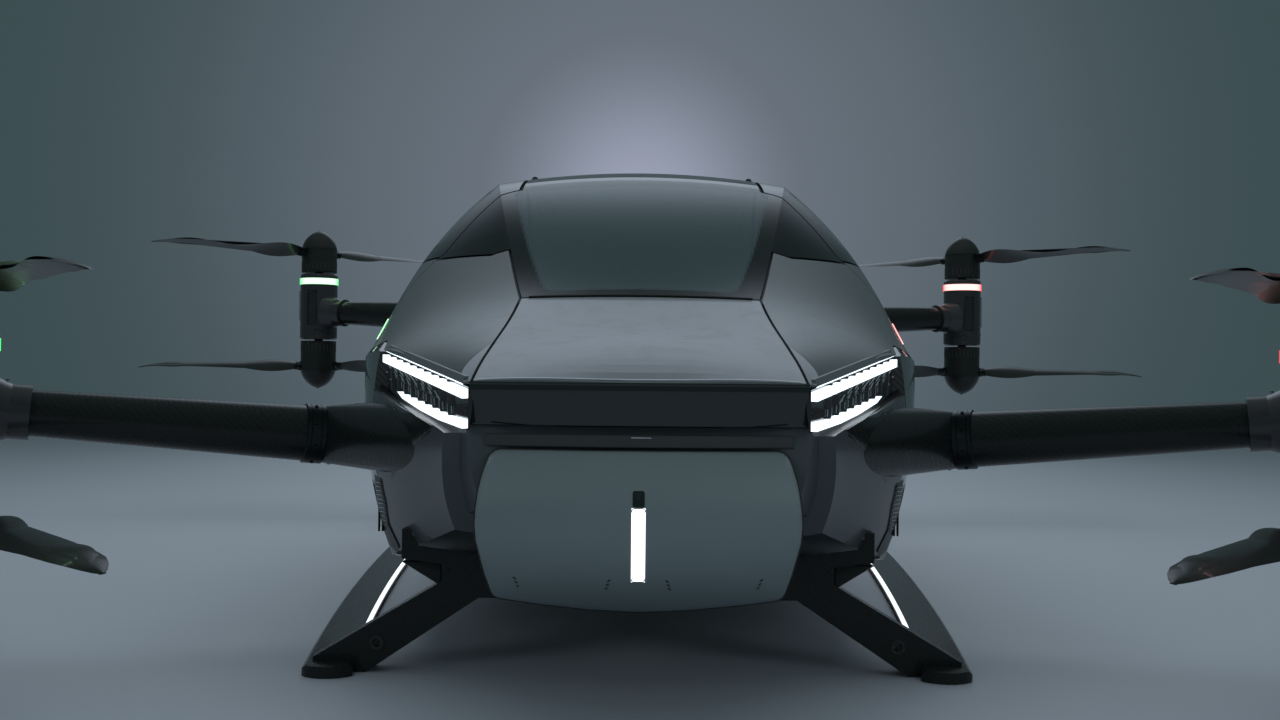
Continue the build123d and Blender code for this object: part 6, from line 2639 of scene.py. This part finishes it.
@dataclass
class Studio:
    """Floor, world, lamps and the camera at the photograph's place."""

    rim: Colour = (0.047, 0.076, 0.084)
    middle: Colour = (0.15, 0.178, 0.215)
    core: Colour = (0.33, 0.36, 0.46)
    sheen: Colour = (0.78, 0.9, 1.06)
    sheen_towards: Point = (0.0, 0.82, 0.572)
    glow_towards: Point = (0.0, 0.991, 0.134)
    floor_colour: Colour = (0.17, 0.2, 0.235)
    floor_radius: float = 60.0
    camera_place: Point = EYE
    focal_px: float = FOCAL_PX
    image_width_px: float = 1280.0
    pitch_deg: float = 0.67
    roll_deg: float = 0.55
    sensor_mm: float = 36.0

    @staticmethod
    def _off(sheet: ShaderSheet, direction: bpy.types.NodeSocket, towards: Point) -> Channel:
        """Return the angle between two directions."""
        dot = sheet.node("ShaderNodeVectorMath", {"operation": "DOT_PRODUCT"},
                         {0: direction, 1: tuple(towards)})
        return sheet.math("ARCCOSINE", Channel(sheet, dot.outputs["Value"]))

    def _glow(self, sheet: ShaderSheet, direction: bpy.types.NodeSocket) -> bpy.types.NodeSocket:
        """Return the backdrop's colour along a direction.

        Args:
            sheet: The sheet that the nodes go to.
            direction: Where a ray points.

        Returns:
            The colour.
        """
        angle = self._off(sheet, direction, self.glow_towards)
        lit = sheet.mix(1.0 - angle.between(0.0, 0.13), self.middle, self.core)
        return sheet.mix(1.0 - angle.between(0.03, 0.47), self.rim, lit)

    def _sheen(self, sheet: ShaderSheet, direction: bpy.types.NodeSocket) -> bpy.types.NodeSocket:
        """Return what a reflecting surface sees along a direction: one wide, soft source."""
        aside = self._off(sheet, direction, self.sheen_towards)
        return sheet.mix(1.0 - aside.between(0.1, 0.5), self.rim, self.sheen)

    def floor(self) -> None:
        """Lay the floor under the runners; far off it takes the backdrop's colour."""
        disc = bmesh.new()
        bmesh.ops.create_circle(disc, cap_ends=True, segments=96, radius=self.floor_radius)
        piece = from_bmesh("floor", disc)
        sheet = ShaderSheet("studio_floor")
        tone = sheet.noise(0.8, 4.0)
        x, y, _ = sheet.axes(sheet.place())
        far = sheet.math("SQRT", x * x + y * y).between(4.0, 17.0)
        darker = tuple(part * 0.96 for part in self.floor_colour)
        near = sheet.mix(tone, darker, self.floor_colour)
        incoming = sheet.node("ShaderNodeNewGeometry").outputs["Incoming"]
        away = sheet.node("ShaderNodeVectorMath", {"operation": "SCALE"},
                          {0: incoming, "Scale": -1.0})
        piece.data.materials.append(sheet.surface(
            Base_Color=sheet.mix(far, near, (0.0, 0.0, 0.0)),
            Roughness=0.55,
            Specular_IOR_Level=(1.0 - far) * 0.3,
            Emission_Color=sheet.mix(far, (0.0, 0.0, 0.0), self._glow(sheet, away.outputs[0])),
            Emission_Strength=1.0,
        ))
        piece.location.z = -0.0005

    def world(self) -> None:
        """Light the object plainly, and show the backdrop to camera, reflections and glass."""
        world = bpy.data.worlds.new("studio")
        bpy.context.scene.world = world
        world.use_nodes = True
        sheet = ShaderSheet("studio", world)
        path = sheet.node("ShaderNodeLightPath")
        glossy = Channel(sheet, path.outputs["Is Glossy Ray"])
        seen = sheet.math("MAXIMUM", glossy, path.outputs["Is Camera Ray"])
        seen = sheet.math("MAXIMUM", seen, path.outputs["Is Transmission Ray"])
        plain = sheet.node("ShaderNodeBackground", {},
                           {"Color": (0.82, 0.97, 1.0), "Strength": 0.5})
        direction = sheet.node("ShaderNodeTexCoord").outputs["Generated"]
        tone = sheet.mix(glossy, self._glow(sheet, direction), self._sheen(sheet, direction))
        shown = sheet.node("ShaderNodeBackground", {}, {"Color": tone})
        choice = sheet.node("ShaderNodeMixShader", {},
                            {0: seen, 1: plain.outputs[0], 2: shown.outputs[0]})
        output = sheet.node("ShaderNodeOutputWorld")
        sheet.tree.links.new(choice.outputs[0], output.inputs["Surface"])

    def lamp(self, name: str, place: Point, target: Point, size: tuple[float, float], watts: float,
             colour: Colour = (1, 1, 1)) -> None:
        """Hang a softbox that points at a target."""
        data = bpy.data.lights.new(name, "AREA")
        data.shape = "RECTANGLE"
        data.size, data.size_y = size
        data.energy = watts
        data.color = colour
        piece = bpy.data.objects.new(name, data)
        piece.matrix_world = Matrix.Translation(Vector(place)) @ (
            (Vector(target) - Vector(place)).to_track_quat("-Z", "Y").to_matrix().to_4x4()
        )
        piece.visible_glossy = False
        bpy.context.scene.collection.objects.link(piece)

    def camera(self) -> None:
        """Place the camera as the photograph's was."""
        data = bpy.data.cameras.new("camera")
        data.sensor_width = self.sensor_mm
        data.lens = self.focal_px / self.image_width_px * self.sensor_mm
        data.clip_end = 200.0
        piece = bpy.data.objects.new("camera", data)
        aim = Matrix.Rotation(math.radians(90 + self.pitch_deg), 4, "X")
        roll = Matrix.Rotation(math.radians(self.roll_deg), 4, "Z")
        piece.matrix_world = Matrix.Translation(Vector(self.camera_place)) @ aim @ roll
        bpy.context.scene.collection.objects.link(piece)
        bpy.context.scene.camera = piece

    def build(self) -> None:
        """Set up the studio."""
        self.floor()
        self.world()
        self.lamp("overhead", (0, 0.4, 4.6), (0, 0.1, 0), (6.5, 4.5), 240)
        self.lamp("front_left", (-4.5, -6.5, 3.2), (0, -0.8, 0.6), (2.6, 2.6), 80)
        self.lamp("front_right", (4.5, -6.5, 3.2), (0, -0.8, 0.6), (2.6, 2.6), 80)
        self.lamp("rear", (0, 7.0, 3.4), (0, 0.8, 0.8), (5.0, 2.0), 150)
        self.camera()
        bpy.context.scene.view_settings.view_transform = "Standard"


def main() -> None:
    """Build the sub-assemblies in order around the frame."""
    logging.basicConfig(level=logging.INFO, format="%(message)s")
    CadFinishes().dress()
    shop = Workshop()
    Headlamps().build(shop)
    Nose().build(shop)
    FrontBody().build(shop)
    pairs = (
        ArmGear("front", (0.79, -1.323, 0.535), (1.54, -1.635, 0.602)),
        ArmGear("rear", (0.76, 1.27, 0.94), (1.54, 1.635, 0.977)),
    )
    fit_arms(pairs, shop)
    FlankTrim().build(shop)
    for pair, upper_angle, upper_hand, lower_angle in ((pairs[0], 48.5, 1, 46.0),
                                                       (pairs[1], -48.5, -1, -2.0)):
        RotorGear(f"{pair.end}_SIDE_upper", pair.hub, 0.282, 1, upper_angle, upper_hand,
                  0.187).build(shop)
        RotorGear(f"{pair.end}_SIDE_lower", pair.hub, -0.258, -1, lower_angle, -upper_hand,
                  -0.139).build(shop)
    SkidGear().build(shop)
    Seats().build(shop)
    Cabin().build(shop)
    DoorGear().build(shop)
    Tail().build(shop)
    Studio().build()


if __name__ == "__main__":
    main()
